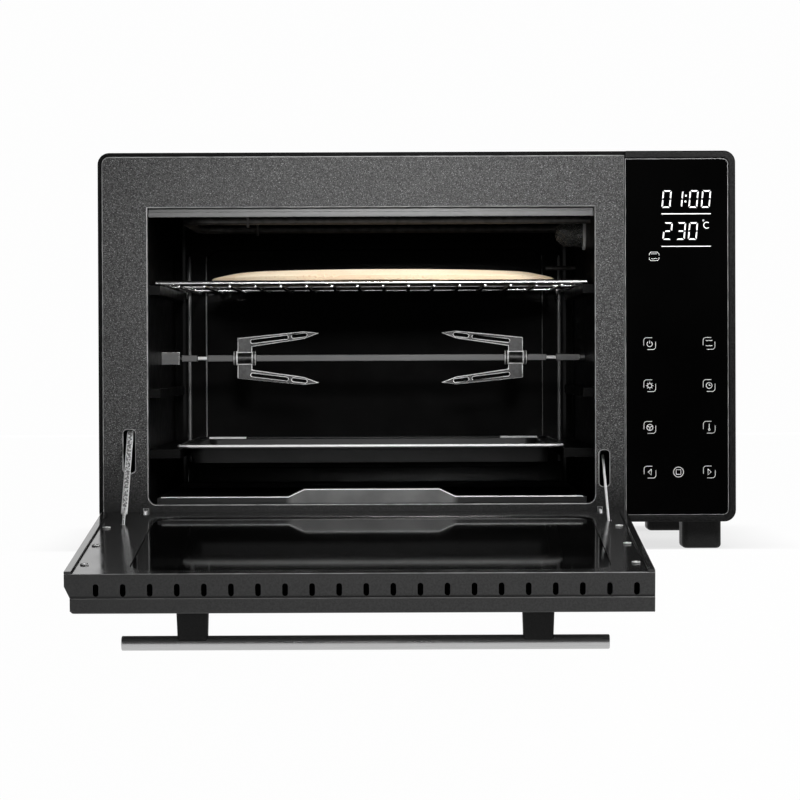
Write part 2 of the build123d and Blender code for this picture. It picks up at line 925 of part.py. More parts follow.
# Pizza stone: fired disc with a rounded rim, loose on the rack
with BuildPart() as pizza_stone:
    with BuildSketch(level(rack_z + bar_r)):
        with Locations((stone_x, stone_d)):
            Circle(stone_r)
    extrude(amount=stone_t)
    fillet(pizza_stone.edges().group_by(Axis.Z)[-1], min(stone_round, stone_t - 2))
    fillet(pizza_stone.edges().group_by(Axis.Z)[0], 1)
save(pizza_stone, "pizza_stone")

# Baking tray: pressed pan whose lip rests on the lower ledges
tray_d = (tray_d0 + tray_d1) / 2
tray_l = tray_d1 - tray_d0
pan_w = tray_w - 2 * tray_lip
pan_l = tray_l - 2 * tray_lip
with BuildPart() as baking_tray:
    with BuildSketch(level(tray_ledge_z)):
        with Locations((tray_x, tray_d)):
            RectangleRounded(tray_w, tray_l, tray_r)
    extrude(amount=tray_t)
    with BuildSketch(level(tray_ledge_z)):
        with Locations((tray_x, tray_d)):
            RectangleRounded(pan_w, pan_l, tray_r - tray_t)
    extrude(amount=-tray_deep, taper=tray_taper)
    with BuildSketch(level(tray_ledge_z + tray_t)):
        with Locations((tray_x, tray_d)):
            RectangleRounded(pan_w - 2 * tray_t, pan_l - 2 * tray_t, tray_r - 2 * tray_t)
    extrude(amount=-tray_deep, taper=tray_taper, mode=Mode.SUBTRACT)
save(baking_tray, "baking_tray")

# Crumb tray: shallow sheet pan on the cavity floor with a raised pull at the front
crumb_lip = floor_z + crumb_h
with BuildPart() as crumb_tray:
    with BuildSketch(level(floor_z)):
        patch(left_in + crumb_gap, right_in - crumb_gap, crumb_d0, crumb_d1)
    extrude(amount=crumb_h)
    with BuildSketch(level(floor_z + crumb_t)):
        patch(
            left_in + crumb_gap + crumb_t,
            right_in - crumb_gap - crumb_t,
            crumb_d0 + crumb_t,
            crumb_d1 - crumb_t,
        )
    extrude(amount=crumb_h, mode=Mode.SUBTRACT)
    with BuildSketch(front(crumb_d0)):
        with BuildLine():
            Polyline(
                (cav_x - pull_w / 2, crumb_lip),
                (cav_x - pull_top / 2, crumb_lip + pull_h),
                (cav_x + pull_top / 2, crumb_lip + pull_h),
                (cav_x + pull_w / 2, crumb_lip),
                close=True,
            )
        make_face()
    extrude(amount=-crumb_t)
save(crumb_tray, "crumb_tray")

# Fan cover: cup behind the fan holes of the right wall
cup_r = fan_r + fan_cover_gap
cup_x = right_out + fan_cover_l
with BuildPart() as fan_cover:
    rod(right_out, cup_x, fan_d, fan_z, cup_r + fan_cover_t)
    rod(right_out, cup_x - fan_cover_t, fan_d, fan_z, cup_r, Mode.SUBTRACT)
    rod(right_out, cup_x, fan_d, fan_z, 2 * pin_r, Mode.SUBTRACT)
save(fan_cover, "fan_cover")

# Fan motor on the back of the cover
shaft_l = fan_motor_l / 2
with BuildPart() as fan_motor:
    rod(cup_x, cup_x + fan_motor_l, fan_d, fan_z, fan_motor_r)
    rod(cup_x, cup_x + shaft_l + 1, fan_d, fan_z, pin_r + run_gap, Mode.SUBTRACT)
save(fan_motor, "fan_motor")

# Fan wheel with its shaft
wheel_x = cup_x - fan_cover_t - fan_cover_gap
with BuildPart() as fan_wheel:
    rod(wheel_x - fan_wheel_l, wheel_x, fan_d, fan_z, fan_hub_r)
    rod(wheel_x - fan_blade_t, wheel_x, fan_d, fan_z, fan_r)
    with BuildSketch(side(wheel_x - fan_wheel_l)):
        with Locations((fan_d, fan_z)):
            with PolarLocations(fan_r / 2, fan_blade_n):
                Rectangle(fan_r - fan_hub_r, fan_blade_t)
    extrude(amount=fan_wheel_l)
    rod(wheel_x, cup_x + shaft_l, fan_d, fan_z, pin_r)
save(fan_wheel, "fan_wheel")

# Control bezel: moulded surround of the control glass
with BuildPart() as control_bezel:
    with BuildSketch(front(frame_t)):
        patch(panel_x0, half_w, body_z, top_z)
        fillet(vertices().group_by(Axis.X)[-1], corner_r)
    extrude(amount=frame_t + panel_proud)
    with BuildSketch(front(frame_t)):
        patch(
            panel_x0 - panel_w,
            glass_x1 + glass_gap,
            glass_z0 - glass_gap,
            glass_z1 + glass_gap,
        )
        fillet(vertices().group_by(Axis.X)[-1], glass_r + glass_gap)
    extrude(amount=frame_t + panel_proud, mode=Mode.SUBTRACT)
    chamfer(
        control_bezel.faces().sort_by(Axis.Y)[0].edges().sort_by(Axis.X)[-1:], bezel_edge
    )
save(control_bezel, "control_bezel")

# Control glass: black touch glass over the whole column
with BuildPart() as control_glass:
    with BuildSketch(front(frame_t)):
        patch(panel_x0, glass_x1, glass_z0, glass_z1)
        fillet(vertices().group_by(Axis.X)[-1], glass_r)
    extrude(amount=glass_t)
save(control_glass, "control_glass")

# Touch board behind the glass, with a window for the display
display = (display_x1 - display_w, display_x1, display_z1 - display_h, display_z1)
with BuildPart() as touch_board:
    with BuildSketch(front(frame_t)):
        patch(
            panel_x0 + board_in,
            glass_x1 - board_in,
            glass_z0 + board_in,
            glass_z1 - board_in,
        )
        patch(*display, Mode.SUBTRACT)
    extrude(amount=-board_t)
save(touch_board, "touch_board")

# Display module in the board's window
with BuildPart() as display_module:
    with BuildSketch(front(frame_t)):
        patch(*display)
    extrude(amount=-display_t)
save(display_module, "display_module")

# Power board: relays and supply on four stand-offs over the base plate
power_z = base_top + power_post_h
with BuildPart() as power_board:
    with BuildSketch(level(base_top)):
        with Locations((power_x, power_d)):
            with GridLocations(
                power_w - 2 * power_post_in, power_l - 2 * power_post_in, 2, 2
            ):
                Circle(power_post_r)
    extrude(amount=power_post_h)
    with BuildSketch(level(power_z)):
        with Locations((power_x, power_d)):
            Rectangle(power_w, power_l)
    extrude(amount=board_t)
    with BuildSketch(level(power_z + board_t)):
        with Locations((power_x, power_d)):
            with GridLocations(power_w / 2, power_l / 3, 2, 3):
                Rectangle(power_w / 3, power_l / 4)
    extrude(amount=relay_h)
save(power_board, "power_board")

# Feet: moulded blocks under the four corners, the rear pair wider
for foot_name, foot_mid, foot_d, foot_wide in (
    ("foot_front_left", -foot_x, foot_front, foot_w),
    ("foot_front_right", foot_x, foot_front, foot_w),
    ("foot_rear_left", -rear_foot_x, rear_foot_d, rear_foot_w),
    ("foot_rear_right", rear_foot_x, rear_foot_d, rear_foot_w),
):
    with BuildPart() as foot:
        with BuildSketch(level()):
            with Locations((foot_mid, foot_d)):
                RectangleRounded(foot_wide, foot_l, 6)
        extrude(amount=base_z)
        fillet(foot.edges().group_by(Axis.Z)[0], 3.5)
    save(foot, foot_name)

# Hinge tabs: bored plates on the base plate that carry the door's pins
for tab_name, tab_x in (("hinge_tab_left", tab_left_x), ("hinge_tab_right", tab_right_x)):
    with BuildPart() as hinge_tab:
        with BuildSketch(side(tab_x)):
            with Locations((hinge_y, hinge_z)):
                Circle(tab_r)
            patch(hinge_y, tab_back, base_top, hinge_z + tab_r)
        extrude(amount=tab_t / 2, both=True)
        with BuildSketch(level(base_top)):
            patch(tab_x - tab_t / 2, tab_x + tab_foot, frame_t + sheet, tab_back)
        extrude(amount=tab_foot_t)
        with BuildSketch(side(tab_x)):
            with Locations((hinge_y, hinge_z)):
                Circle(pin_r + run_gap)
        extrude(amount=tab_foot, both=True, mode=Mode.SUBTRACT)
    save(hinge_tab, tab_name)

# Door inner pan: folded sheet with the window, the vented free edge and pin lugs
pan_inner_x0 = door_x0 + sheet
lug_in = tab_t / 2 + lug_room
with BuildPart() as door_inner_pan:
    with BuildSketch(door_end(door_back)):
        with BuildLine():
            Polyline(
                (door_x0, door_face),
                (door_x1, door_face),
                (door_x1, pan_low),
                (outer_x0, pan_low),
                (door_x0, pan_low + pan_bevel),
                close=True,
            )
        make_face()
    extrude(amount=door_len)
    with BuildSketch(door_end(door_back - sheet)):
        with BuildLine():
            Polyline(
                (pan_inner_x0, door_face - sheet),
                (door_x1 - sheet, door_face - sheet),
                (door_x1 - sheet, pan_low - sheet),
                (outer_x0 + sheet, pan_low - sheet),
                (outer_x0 + sheet, pan_low),
                (pan_inner_x0, pan_low + pan_bevel),
                close=True,
            )
        make_face()
    extrude(amount=door_len - 2 * sheet, mode=Mode.SUBTRACT)
    with BuildSketch(door_level(door_face)):
        round_patch(window_x0, window_x1, window_y0, window_y1, window_r)
        for arm_x, arm_y in ((arm_left_x, arm_left_y), (arm_right_x, arm_right_y)):
            patch(
                arm_x - arm_lug_t / 2 - 1.1,
                arm_x + arm_lug_t / 2 + 1.1,
                arm_y - arm_eye_r - 0.5,
                arm_y + arm_eye_r + 10,
            )
    extrude(amount=-4 * sheet, mode=Mode.SUBTRACT)
    with BuildSketch(door_end(door_y0)):
        with Locations((handle_x + 1, door_face - door_vent_z)):
            with GridLocations(
                (door_x1 - door_x0 - 2 * door_vent_in) / (door_vent_n - 1), 1, door_vent_n, 1
            ):
                SlotOverall(door_vent_l, door_vent_w, rotation=90)
    extrude(amount=-3 * sheet, mode=Mode.SUBTRACT)
    for tab_x in (tab_left_x, tab_right_x):
        with BuildSketch(door_side(tab_x)):
            patch(-10, door_back + 1, -11, door_face + 1)
        extrude(amount=tab_t + 1, both=True, mode=Mode.SUBTRACT)
        for lug_x in (tab_x - lug_in - lug_t, tab_x + lug_in):
            with BuildSketch(door_side(lug_x)):
                patch(-7, door_back - sheet, -6, door_face - sheet)
                Circle(pin_r, mode=Mode.SUBTRACT)
            extrude(amount=lug_t)
save(door_inner_pan, "door_inner_pan")

# Door inner glass: pane behind the window of the pan
with BuildPart() as door_inner_glass:
    with BuildSketch(door_level(door_face - sheet)):
        patch(
            window_x0 - pane_lap,
            window_x1 + pane_lap,
            window_y0 - pane_lap,
            window_y1 + pane_lap,
        )
    extrude(amount=-pane_t)
save(door_inner_glass, "door_inner_glass")

# Door outer frame: folded front of the door round its large window
outer_window = (
    outer_x0 + outer_window_side,
    door_x1 - outer_window_side,
    door_y0 + outer_window_free,
    door_back - outer_window_near,
)
with BuildPart() as door_outer_frame:
    with BuildSketch(door_level(pan_low)):
        patch(outer_x0, door_x1, door_y0, door_back)
    extrude(amount=-outer_t)
    fillet(door_outer_frame.edges().filter_by(Axis.X).group_by(Axis.Z)[0], outer_edge_r)
    with BuildSketch(door_level(pan_low)):
        patch(
            outer_x0 + frame_t, door_x1 - frame_t, door_y0 + frame_t, door_back - frame_t
        )
    extrude(amount=-(outer_t - frame_t), mode=Mode.SUBTRACT)
    with BuildSketch(door_level(pan_low)):
        round_patch(*outer_window, outer_window_r)
    extrude(amount=-outer_t, mode=Mode.SUBTRACT)
save(door_outer_frame, "door_outer_frame")

# Door outer glass: dark pane behind the outer window
with BuildPart() as door_outer_glass:
    with BuildSketch(door_level(outer_low + frame_t)):
        patch(
            outer_window[0] - pane_lap,
            outer_window[1] + pane_lap,
            outer_window[2] - pane_lap,
            outer_window[3] + pane_lap,
        )
    extrude(amount=pane_t)
save(door_outer_glass, "door_outer_glass")

# Door rails: narrow seal strips along both edges of the inner face
rail_x1 = door_x1 - rail_gap
with BuildPart() as door_rails:
    with BuildSketch(door_level(door_face)):
        patch(door_x0, door_x0 + rail_w, door_y0, -rail_back)
        patch(rail_x1 - rail_w, rail_x1, door_y0, -rail_back)
    extrude(amount=rail_h)
save(door_rails, "door_rails")

# Door screws: three along each side of the inner face
door_mid = (door_x0 + door_x1) / 2
screw_span = door_x1 - door_x0 - 2 * door_screw_in
screw_mid = (door_mid, door_y0 + door_screw_end + door_screw_pitch)
with BuildPart() as door_screws:
    with BuildSketch(door_level(door_face)):
        with Locations(screw_mid):
            with GridLocations(screw_span, door_screw_pitch, 2, 3):
                Circle(door_screw_r)
    extrude(amount=door_screw_h)
    with BuildSketch(door_level(door_face + door_screw_h)):
        with Locations(screw_mid):
            with GridLocations(screw_span, door_screw_pitch, 2, 3):
                Rectangle(cross_l, cross_w)
                Rectangle(cross_w, cross_l)
    extrude(amount=-cross_w, mode=Mode.SUBTRACT)
save(door_screws, "door_screws")

# Hinge pins: turn with the door in the bores of the tabs
with BuildPart() as hinge_pins:
    for tab_x in (tab_left_x, tab_right_x):
        with BuildSketch(door_side(tab_x)):
            Circle(pin_r)
        extrude(amount=pin_l / 2, both=True)
save(hinge_pins, "hinge_pins")

# Arm lugs: small forks under the pan that carry the pins of the stay arms
with BuildPart() as arm_lugs:
    for arm_x, arm_y, arm_w in (
        (arm_left_x, arm_left_y, arm_left_foot_w),
        (arm_right_x, arm_right_y, arm_right_w),
    ):
        lug_half = arm_w / 2 + arm_lug_gap
        with BuildSketch(door_side(arm_x)):
            patch(arm_y - 6, arm_y + 6, -6, door_face - sheet)
        extrude(amount=lug_half + arm_lug_t, both=True)
        with BuildSketch(door_side(arm_x)):
            patch(arm_y - 7, arm_y + 14, -7, door_face)
        extrude(amount=lug_half, both=True, mode=Mode.SUBTRACT)
        with BuildSketch(door_side(arm_x)):
            with Locations((arm_y, 0)):
                Circle(pin_r)
        extrude(amount=lug_half + arm_lug_t, both=True)
save(arm_lugs, "arm_lugs")

# Left stay arm: flat link with a narrow foot, running through the left slot
left_arm = arm_side(arm_left_x, arm_left_y, arm_left_rise)
with BuildPart() as arm_left:
    with BuildSketch(left_arm):
        Circle(arm_eye_r)
        patch(0, arm_foot_l, -arm_eye_r / 2, arm_eye_r / 2)
    extrude(amount=arm_left_foot_w / 2, both=True)
    with BuildSketch(left_arm):
        patch(arm_foot_l * 0.75, arm_left_l, -arm_left_t / 2, arm_left_t / 2)
    extrude(amount=arm_left_w / 2, both=True)
    with BuildSketch(left_arm):
        Circle(pin_r + run_gap)
    extrude(amount=arm_left_w, both=True, mode=Mode.SUBTRACT)
save(arm_left, "arm_left")

# Right stay arm: thin link running through the right slot
right_arm = arm_side(arm_right_x, arm_right_y, arm_right_rise)
with BuildPart() as arm_right:
    with BuildSketch(right_arm):
        Circle(arm_eye_r)
        patch(0, arm_right_l, -arm_right_t / 2, arm_right_t / 2)
    extrude(amount=arm_right_w / 2, both=True)
    with BuildSketch(right_arm):
        Circle(pin_r + run_gap)
    extrude(amount=arm_right_w, both=True, mode=Mode.SUBTRACT)
save(arm_right, "arm_right")

# Handle posts: moulded blocks on the door's front, saddled over the bar
for post_name, post_sign in (("handle_post_left", -1), ("handle_post_right", 1)):
    with BuildPart() as handle_post:
        with BuildSketch(door_level(outer_low)):
            with Locations((handle_x + post_sign * post_gap / 2, handle_y)):
                RectangleRounded(post_w, post_l, 3)
        extrude(amount=handle_r / 2 - handle_out, taper=2)
        with BuildSketch(door_side(handle_x - handle_l / 2)):
            with Locations((handle_y, handle_z)):
                Circle(handle_r)
        extrude(amount=handle_l, mode=Mode.SUBTRACT)
    save(handle_post, post_name)

# Handle bar: brushed tube held by the two posts
with BuildPart() as handle_bar:
    with BuildSketch(door_side(handle_x - handle_l / 2)):
        with Locations((handle_y, handle_z)):
            Circle(handle_r)
            Circle(handle_r - handle_wall, mode=Mode.SUBTRACT)
    extrude(amount=handle_l)
    for cap_x in (handle_x - handle_l / 2, handle_x + handle_l / 2 - handle_wall):
        with BuildSketch(door_side(cap_x)):
            with Locations((handle_y, handle_z)):
                Circle(handle_r)
        extrude(amount=handle_wall)
    for end in (0, -1):
        fillet(
            handle_bar.edges().filter_by(GeomType.CIRCLE).group_by(Axis.X)[end],
            handle_wall * 0.8,
        )
save(handle_bar, "handle_bar")

# Handle screws: pull the posts to the door's front from inside
with BuildPart() as handle_screws:
    with BuildSketch(door_level(outer_low + frame_t)):
        with Locations((handle_x, handle_y)):
            with GridLocations(post_gap, 1, 2, 1):
                Circle(screw_r)
    extrude(amount=screw_h)
save(handle_screws, "handle_screws")
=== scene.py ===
import json
from math import cos, radians, sin

import bmesh
import bpy
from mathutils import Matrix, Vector

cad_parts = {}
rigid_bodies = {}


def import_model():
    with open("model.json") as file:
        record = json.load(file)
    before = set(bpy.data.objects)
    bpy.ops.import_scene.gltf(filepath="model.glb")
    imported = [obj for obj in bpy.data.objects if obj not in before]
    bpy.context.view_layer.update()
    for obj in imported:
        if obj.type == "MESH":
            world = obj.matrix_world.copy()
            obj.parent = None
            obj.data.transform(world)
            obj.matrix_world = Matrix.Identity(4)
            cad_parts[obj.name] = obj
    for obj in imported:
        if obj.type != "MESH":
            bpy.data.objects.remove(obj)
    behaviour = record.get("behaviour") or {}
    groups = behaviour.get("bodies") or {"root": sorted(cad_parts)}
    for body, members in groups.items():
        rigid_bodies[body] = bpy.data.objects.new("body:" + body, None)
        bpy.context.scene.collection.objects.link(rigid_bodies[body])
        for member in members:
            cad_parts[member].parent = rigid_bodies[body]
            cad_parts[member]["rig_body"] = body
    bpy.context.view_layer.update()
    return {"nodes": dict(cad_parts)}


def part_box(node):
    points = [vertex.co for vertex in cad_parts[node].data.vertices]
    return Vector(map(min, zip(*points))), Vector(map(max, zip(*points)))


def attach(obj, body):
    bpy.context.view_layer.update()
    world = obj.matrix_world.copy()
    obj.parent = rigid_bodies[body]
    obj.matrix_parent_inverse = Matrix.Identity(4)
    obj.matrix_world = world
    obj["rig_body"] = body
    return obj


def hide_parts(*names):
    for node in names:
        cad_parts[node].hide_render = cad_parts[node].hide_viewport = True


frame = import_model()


# The view: a long lens almost straight in front of the oven, level with the middle
# of its height, as in the product photograph.
CAMERA_PLACE = (0.2324, -2.7145, 0.1646)
CAMERA_DOWN = radians(0.74)
CAMERA_ROLL = radians(0.22)
CAMERA_LENS = 139.8
CAMERA_SENSOR = 36
CAMERA_REACH = 30

bpy.ops.object.select_all(action="DESELECT")
bpy.ops.object.camera_add(
    location=CAMERA_PLACE, rotation=(radians(90) - CAMERA_DOWN, CAMERA_ROLL, 0)
)
camera = bpy.context.active_object
camera.name = "camera"
camera.data.lens = CAMERA_LENS
camera.data.sensor_width = CAMERA_SENSOR
camera.data.clip_end = CAMERA_REACH
bpy.context.scene.camera = camera
bpy.context.scene.view_settings.view_transform = "Standard"


# The studio: the oven stands at the front edge of a white block, so that its open
# door hangs clear of it, with a white floor below and a white wall far behind. The
# glow of the block's top is dimmed close to the oven, a painted soft shadow.
MM = 0.001
BLOCK_FRONT = -30.5 * MM
BLOCK_DROP = 0.35
SLAB_T = 0.02
WALL_BACK = 4.0
WALL_GAP = 0.2
WALL_HIGH = 3.0
STUDIO_HALF = 3.0
STUDIO_PAINT = (0.86, 0.86, 0.86, 1)
STUDIO_ROUGH = 0.9
STUDIO_GLOW = 0.985
SHADOW_REACH = 0.08
SHADOW_LEVEL = 0.72
SQUARE_ON = 0.9


def seen(tree, other):
    """1 where the eye looks straight at a thing, or by one other kind of ray, else 0."""
    path = tree.nodes.new("ShaderNodeLightPath")
    either = tree.nodes.new("ShaderNodeMath")
    either.operation = "MAXIMUM"
    tree.links.new(path.outputs["Is Camera Ray"], either.inputs[0])
    tree.links.new(path.outputs[other], either.inputs[1])
    return either.outputs[0]


def studio_white(name):
    """White paint that mostly shines by itself, to the eye and in gloss."""
    material = bpy.data.materials.new(name)
    material.use_nodes = True
    tree = material.node_tree
    paint = tree.nodes["Principled BSDF"]
    paint.inputs["Base Color"].default_value = STUDIO_PAINT
    paint.inputs["Roughness"].default_value = STUDIO_ROUGH
    paint.inputs["Specular IOR Level"].default_value = 0.0
    shine = tree.nodes.new("ShaderNodeEmission")
    share = tree.nodes.new("ShaderNodeMath")
    share.operation = "MULTIPLY"
    share.inputs[1].default_value = STUDIO_GLOW
    mix = tree.nodes.new("ShaderNodeMixShader")
    tree.links.new(seen(tree, "Is Glossy Ray"), share.inputs[0])
    tree.links.new(share.outputs[0], mix.inputs["Fac"])
    tree.links.new(paint.outputs[0], mix.inputs[1])
    tree.links.new(shine.outputs[0], mix.inputs[2])
    tree.links.new(mix.outputs[0], tree.nodes["Material Output"].inputs["Surface"])
    return material


backdrop_white = studio_white("backdrop_white")
floor_white = studio_white("floor_white")
floor_tree = floor_white.node_tree
# Painted shadow: the floor's glow is dimmed by occlusion where the oven is near.
floor_shadow = floor_tree.nodes.new("ShaderNodeAmbientOcclusion")
floor_shadow.inputs["Distance"].default_value = SHADOW_REACH
floor_level = floor_tree.nodes.new("ShaderNodeMapRange")
floor_level.inputs["To Min"].default_value = SHADOW_LEVEL
floor_tree.links.new(floor_shadow.outputs["AO"], floor_level.inputs["Value"])
floor_tree.links.new(
    floor_level.outputs["Result"], floor_tree.nodes["Emission"].inputs["Strength"]
)


def stage_slab(name, low, high, top=backdrop_white):
    """A plain slab of the studio between two corners, with its own paint on top."""
    bpy.ops.mesh.primitive_cube_add(size=1)
    slab = bpy.context.active_object
    slab.name = name
    for vertex in slab.data.vertices:
        vertex.co = [
            high[axis] if vertex.co[axis] > 0 else low[axis] for axis in range(3)
        ]
    slab.data.materials.append(backdrop_white)
    slab.data.materials.append(top)
    for face in slab.data.polygons:
        face.material_index = 1 if face.normal.z > SQUARE_ON else 0


stage_slab(
    "stage_block",
    low=(-STUDIO_HALF, BLOCK_FRONT, -BLOCK_DROP),
    high=(STUDIO_HALF, WALL_BACK, 0),
    top=floor_white,
)
stage_slab(
    "stage_floor",
    low=(-STUDIO_HALF, -STUDIO_HALF, -BLOCK_DROP - SLAB_T),
    high=(STUDIO_HALF, BLOCK_FRONT, -BLOCK_DROP),
)
stage_slab(
    "stage_wall",
    low=(-STUDIO_HALF, WALL_BACK + WALL_GAP, 0),
    high=(STUDIO_HALF, WALL_BACK + WALL_GAP + SLAB_T, WALL_HIGH),
)


# The light: a dim plain surround that is white to look into, a soft lamp close above
# the front at the right, a wide one at each side, and a narrow one over the camera
# that shines into the cavity.
SURROUND = 0.06
OVEN_MIDDLE = Vector((0.247, 0.0, 0.17))
KEY_PLACE = (0.64, -0.60, 0.54)
KEY_SIZE = (0.45, 0.30)
KEY_POWER = 4.8
SIDE_PLACES = (("lamp_left", (-1.60, -2.30, 0.20)), ("lamp_right", (2.10, -2.30, 0.20)))
SIDE_SIZE = (1.6, 0.8)
SIDE_POWER = 5
BEAM_PLACE = (0.28, -2.45, 0.62)
BEAM_AIM = Vector((0.170, 0.0, 0.230))
BEAM_CONE = radians(13.5)
BEAM_FADE = 0.75
BEAM_SOFT = 0.12
BEAM_POWER = 120

world = bpy.data.worlds.new("surround")
bpy.context.scene.world = world
world.use_nodes = True
sky = world.node_tree.nodes["Background"]
sky.inputs["Color"].default_value = (1, 1, 1, 1)
sky_level = world.node_tree.nodes.new("ShaderNodeMapRange")
sky_level.inputs["To Min"].default_value = SURROUND
sky_seen = seen(world.node_tree, "Is Transmission Ray")
world.node_tree.links.new(sky_seen, sky_level.inputs["Value"])
world.node_tree.links.new(sky_level.outputs["Result"], sky.inputs["Strength"])


def lamp_at(name, kind, place, target, power):
    """A lamp of one kind, aimed from its place at a target."""
    bpy.ops.object.light_add(type=kind, location=place)
    lamp = bpy.context.active_object
    lamp.name = name
    lamp.data.energy = power
    lamp.rotation_euler = (target - lamp.location).to_track_quat("-Z", "Y").to_euler()
    return lamp.data


def soft_lamp(name, place, size, power):
    """A rectangular soft lamp aimed at the middle of the oven."""
    panel = lamp_at(name, "AREA", place, OVEN_MIDDLE, power)
    panel.shape = "RECTANGLE"
    panel.size, panel.size_y = size


soft_lamp("lamp_key", KEY_PLACE, KEY_SIZE, KEY_POWER)
for side_name, side_place in SIDE_PLACES:
    soft_lamp(side_name, side_place, SIDE_SIZE, SIDE_POWER)
beam = lamp_at("lamp_spot", "SPOT", BEAM_PLACE, BEAM_AIM, BEAM_POWER)
beam.spot_size = BEAM_CONE
beam.spot_blend = BEAM_FADE
beam.shadow_soft_size = BEAM_SOFT


# Feet: four moulded blocks of black plastic with rounded soles and a fine grain, fixed
# under the corners of the oven. The rear pair is wider.
MERGE_WITHIN = 0.0005 * MM
FLAT_ANGLE = radians(0.3)
SHARP_ANGLE = radians(35)
SMOOTH_ANGLE = radians(32)
GRAIN_DETAIL = 3.0
MIX_FIELD = 0
MIX_UNDER = 6
MIX_OVER = 7
MIX_RESULT = 2

mottle = bpy.data.node_groups.new("mottle", "ShaderNodeTree")
for label, kind, value in (
    ("Scale", "NodeSocketFloat", 100.0),
    ("Stretch", "NodeSocketVector", (1.0, 1.0, 1.0)),
    ("Low", "NodeSocketFloat", 0.35),
    ("High", "NodeSocketFloat", 0.65),
):
    socket = mottle.interface.new_socket(label, in_out="INPUT", socket_type=kind)
    socket.default_value = value
mottle.interface.new_socket("Value", in_out="OUTPUT", socket_type="NodeSocketFloat")
mottle_in = mottle.nodes.new("NodeGroupInput")
mottle_out = mottle.nodes.new("NodeGroupOutput")
mottle_place = mottle.nodes.new("ShaderNodeTexCoord")
mottle_stretch = mottle.nodes.new("ShaderNodeVectorMath")
mottle_stretch.operation = "MULTIPLY"
mottle_noise = mottle.nodes.new("ShaderNodeTexNoise")
mottle_noise.inputs["Detail"].default_value = GRAIN_DETAIL
mottle_range = mottle.nodes.new("ShaderNodeMapRange")
mottle.links.new(mottle_place.outputs["Object"], mottle_stretch.inputs[0])
mottle.links.new(mottle_in.outputs["Stretch"], mottle_stretch.inputs[1])
mottle.links.new(mottle_stretch.outputs[0], mottle_noise.inputs["Vector"])
mottle.links.new(mottle_in.outputs["Scale"], mottle_noise.inputs["Scale"])
mottle.links.new(mottle_noise.outputs["Fac"], mottle_range.inputs["Value"])
mottle.links.new(mottle_in.outputs["Low"], mottle_range.inputs["From Min"])
mottle.links.new(mottle_in.outputs["High"], mottle_range.inputs["From Max"])
mottle.links.new(mottle_range.outputs["Result"], mottle_out.inputs["Value"])


def shader_socket(material, socket):
    """One of the inputs of a material's shader."""
    return material.node_tree.nodes["Principled BSDF"].inputs[socket]


def surface(name, roughness, metallic=0.0, specular=0.5):
    """A new material with plain values all over."""
    material = bpy.data.materials.new(name)
    material.use_nodes = True
    shader_socket(material, "Roughness").default_value = roughness
    shader_socket(material, "Metallic").default_value = metallic
    shader_socket(material, "Specular IOR Level").default_value = specular
    return material


def mottled(material, scale, low=0.35, high=0.65, stretch=(1, 1, 1)):
    """A field from 0 to 1 over the surface, grainy at the given scale per metre."""
    node = material.node_tree.nodes.new("ShaderNodeGroup")
    node.node_tree = mottle
    node.inputs["Scale"].default_value = scale
    node.inputs["Stretch"].default_value = stretch
    node.inputs["Low"].default_value = low
    node.inputs["High"].default_value = high
    return node.outputs["Value"]


def blended(material, field, under, over):
    """A colour from under to over by a field; each may itself be a blend."""
    tree = material.node_tree
    mix = tree.nodes.new("ShaderNodeMix")
    mix.data_type = "RGBA"
    tree.links.new(field, mix.inputs[MIX_FIELD])
    for colour, socket in ((under, mix.inputs[MIX_UNDER]), (over, mix.inputs[MIX_OVER])):
        if isinstance(colour, bpy.types.NodeSocket):
            tree.links.new(colour, socket)
        else:
            socket.default_value = (*colour, 1)
    return mix.outputs[MIX_RESULT]


def coloured(material, field, under, over):
    """Base colour from under to over by a field."""
    colour = blended(material, field, under, over)
    material.node_tree.links.new(colour, shader_socket(material, "Base Color"))


def roughened(material, field, low, high):
    """Roughness from low to high by a field."""
    tree = material.node_tree
    span = tree.nodes.new("ShaderNodeMapRange")
    span.inputs["To Min"].default_value = low
    span.inputs["To Max"].default_value = high
    tree.links.new(field, span.inputs["Value"])
    tree.links.new(span.outputs["Result"], shader_socket(material, "Roughness"))


def bumped(material, field, height):
    """A relief of the given height in millimetres by a field."""
    tree = material.node_tree
    bump = tree.nodes.new("ShaderNodeBump")
    bump.inputs["Distance"].default_value = height * MM
    tree.links.new(field, bump.inputs["Height"])
    tree.links.new(bump.outputs["Normal"], shader_socket(material, "Normal"))


def grey(level):
    """A neutral colour."""
    return (level, level, level)


black_plastic = surface("black_plastic", roughness=0.5, specular=0.14)
grain = mottled(black_plastic, scale=900)
coloured(black_plastic, grain, grey(0.011), grey(0.019))
roughened(black_plastic, grain, low=0.42, high=0.6)
bumped(black_plastic, grain, height=0.05)


def eased(piece, width, segments, chosen):
    """Rounds over the sharp edges of a piece that pass a test, in its last material."""
    bpy.context.view_layer.objects.active = piece
    bpy.ops.object.mode_set(mode="EDIT")
    bpy.ops.mesh.select_mode(type="EDGE")
    bpy.ops.mesh.select_all(action="DESELECT")
    shape = bmesh.from_edit_mesh(piece.data)
    for edge in shape.edges:
        sharp = edge.is_manifold and edge.calc_face_angle() > SHARP_ANGLE
        edge.select_set(sharp and chosen(edge))
    bmesh.update_edit_mesh(piece.data)
    bpy.ops.mesh.bevel(
        offset=width * MM,
        segments=segments,
        affect="EDGES",
        clamp_overlap=False,
        material=len(piece.data.materials) - 1,
    )
    bpy.ops.object.mode_set(mode="OBJECT")


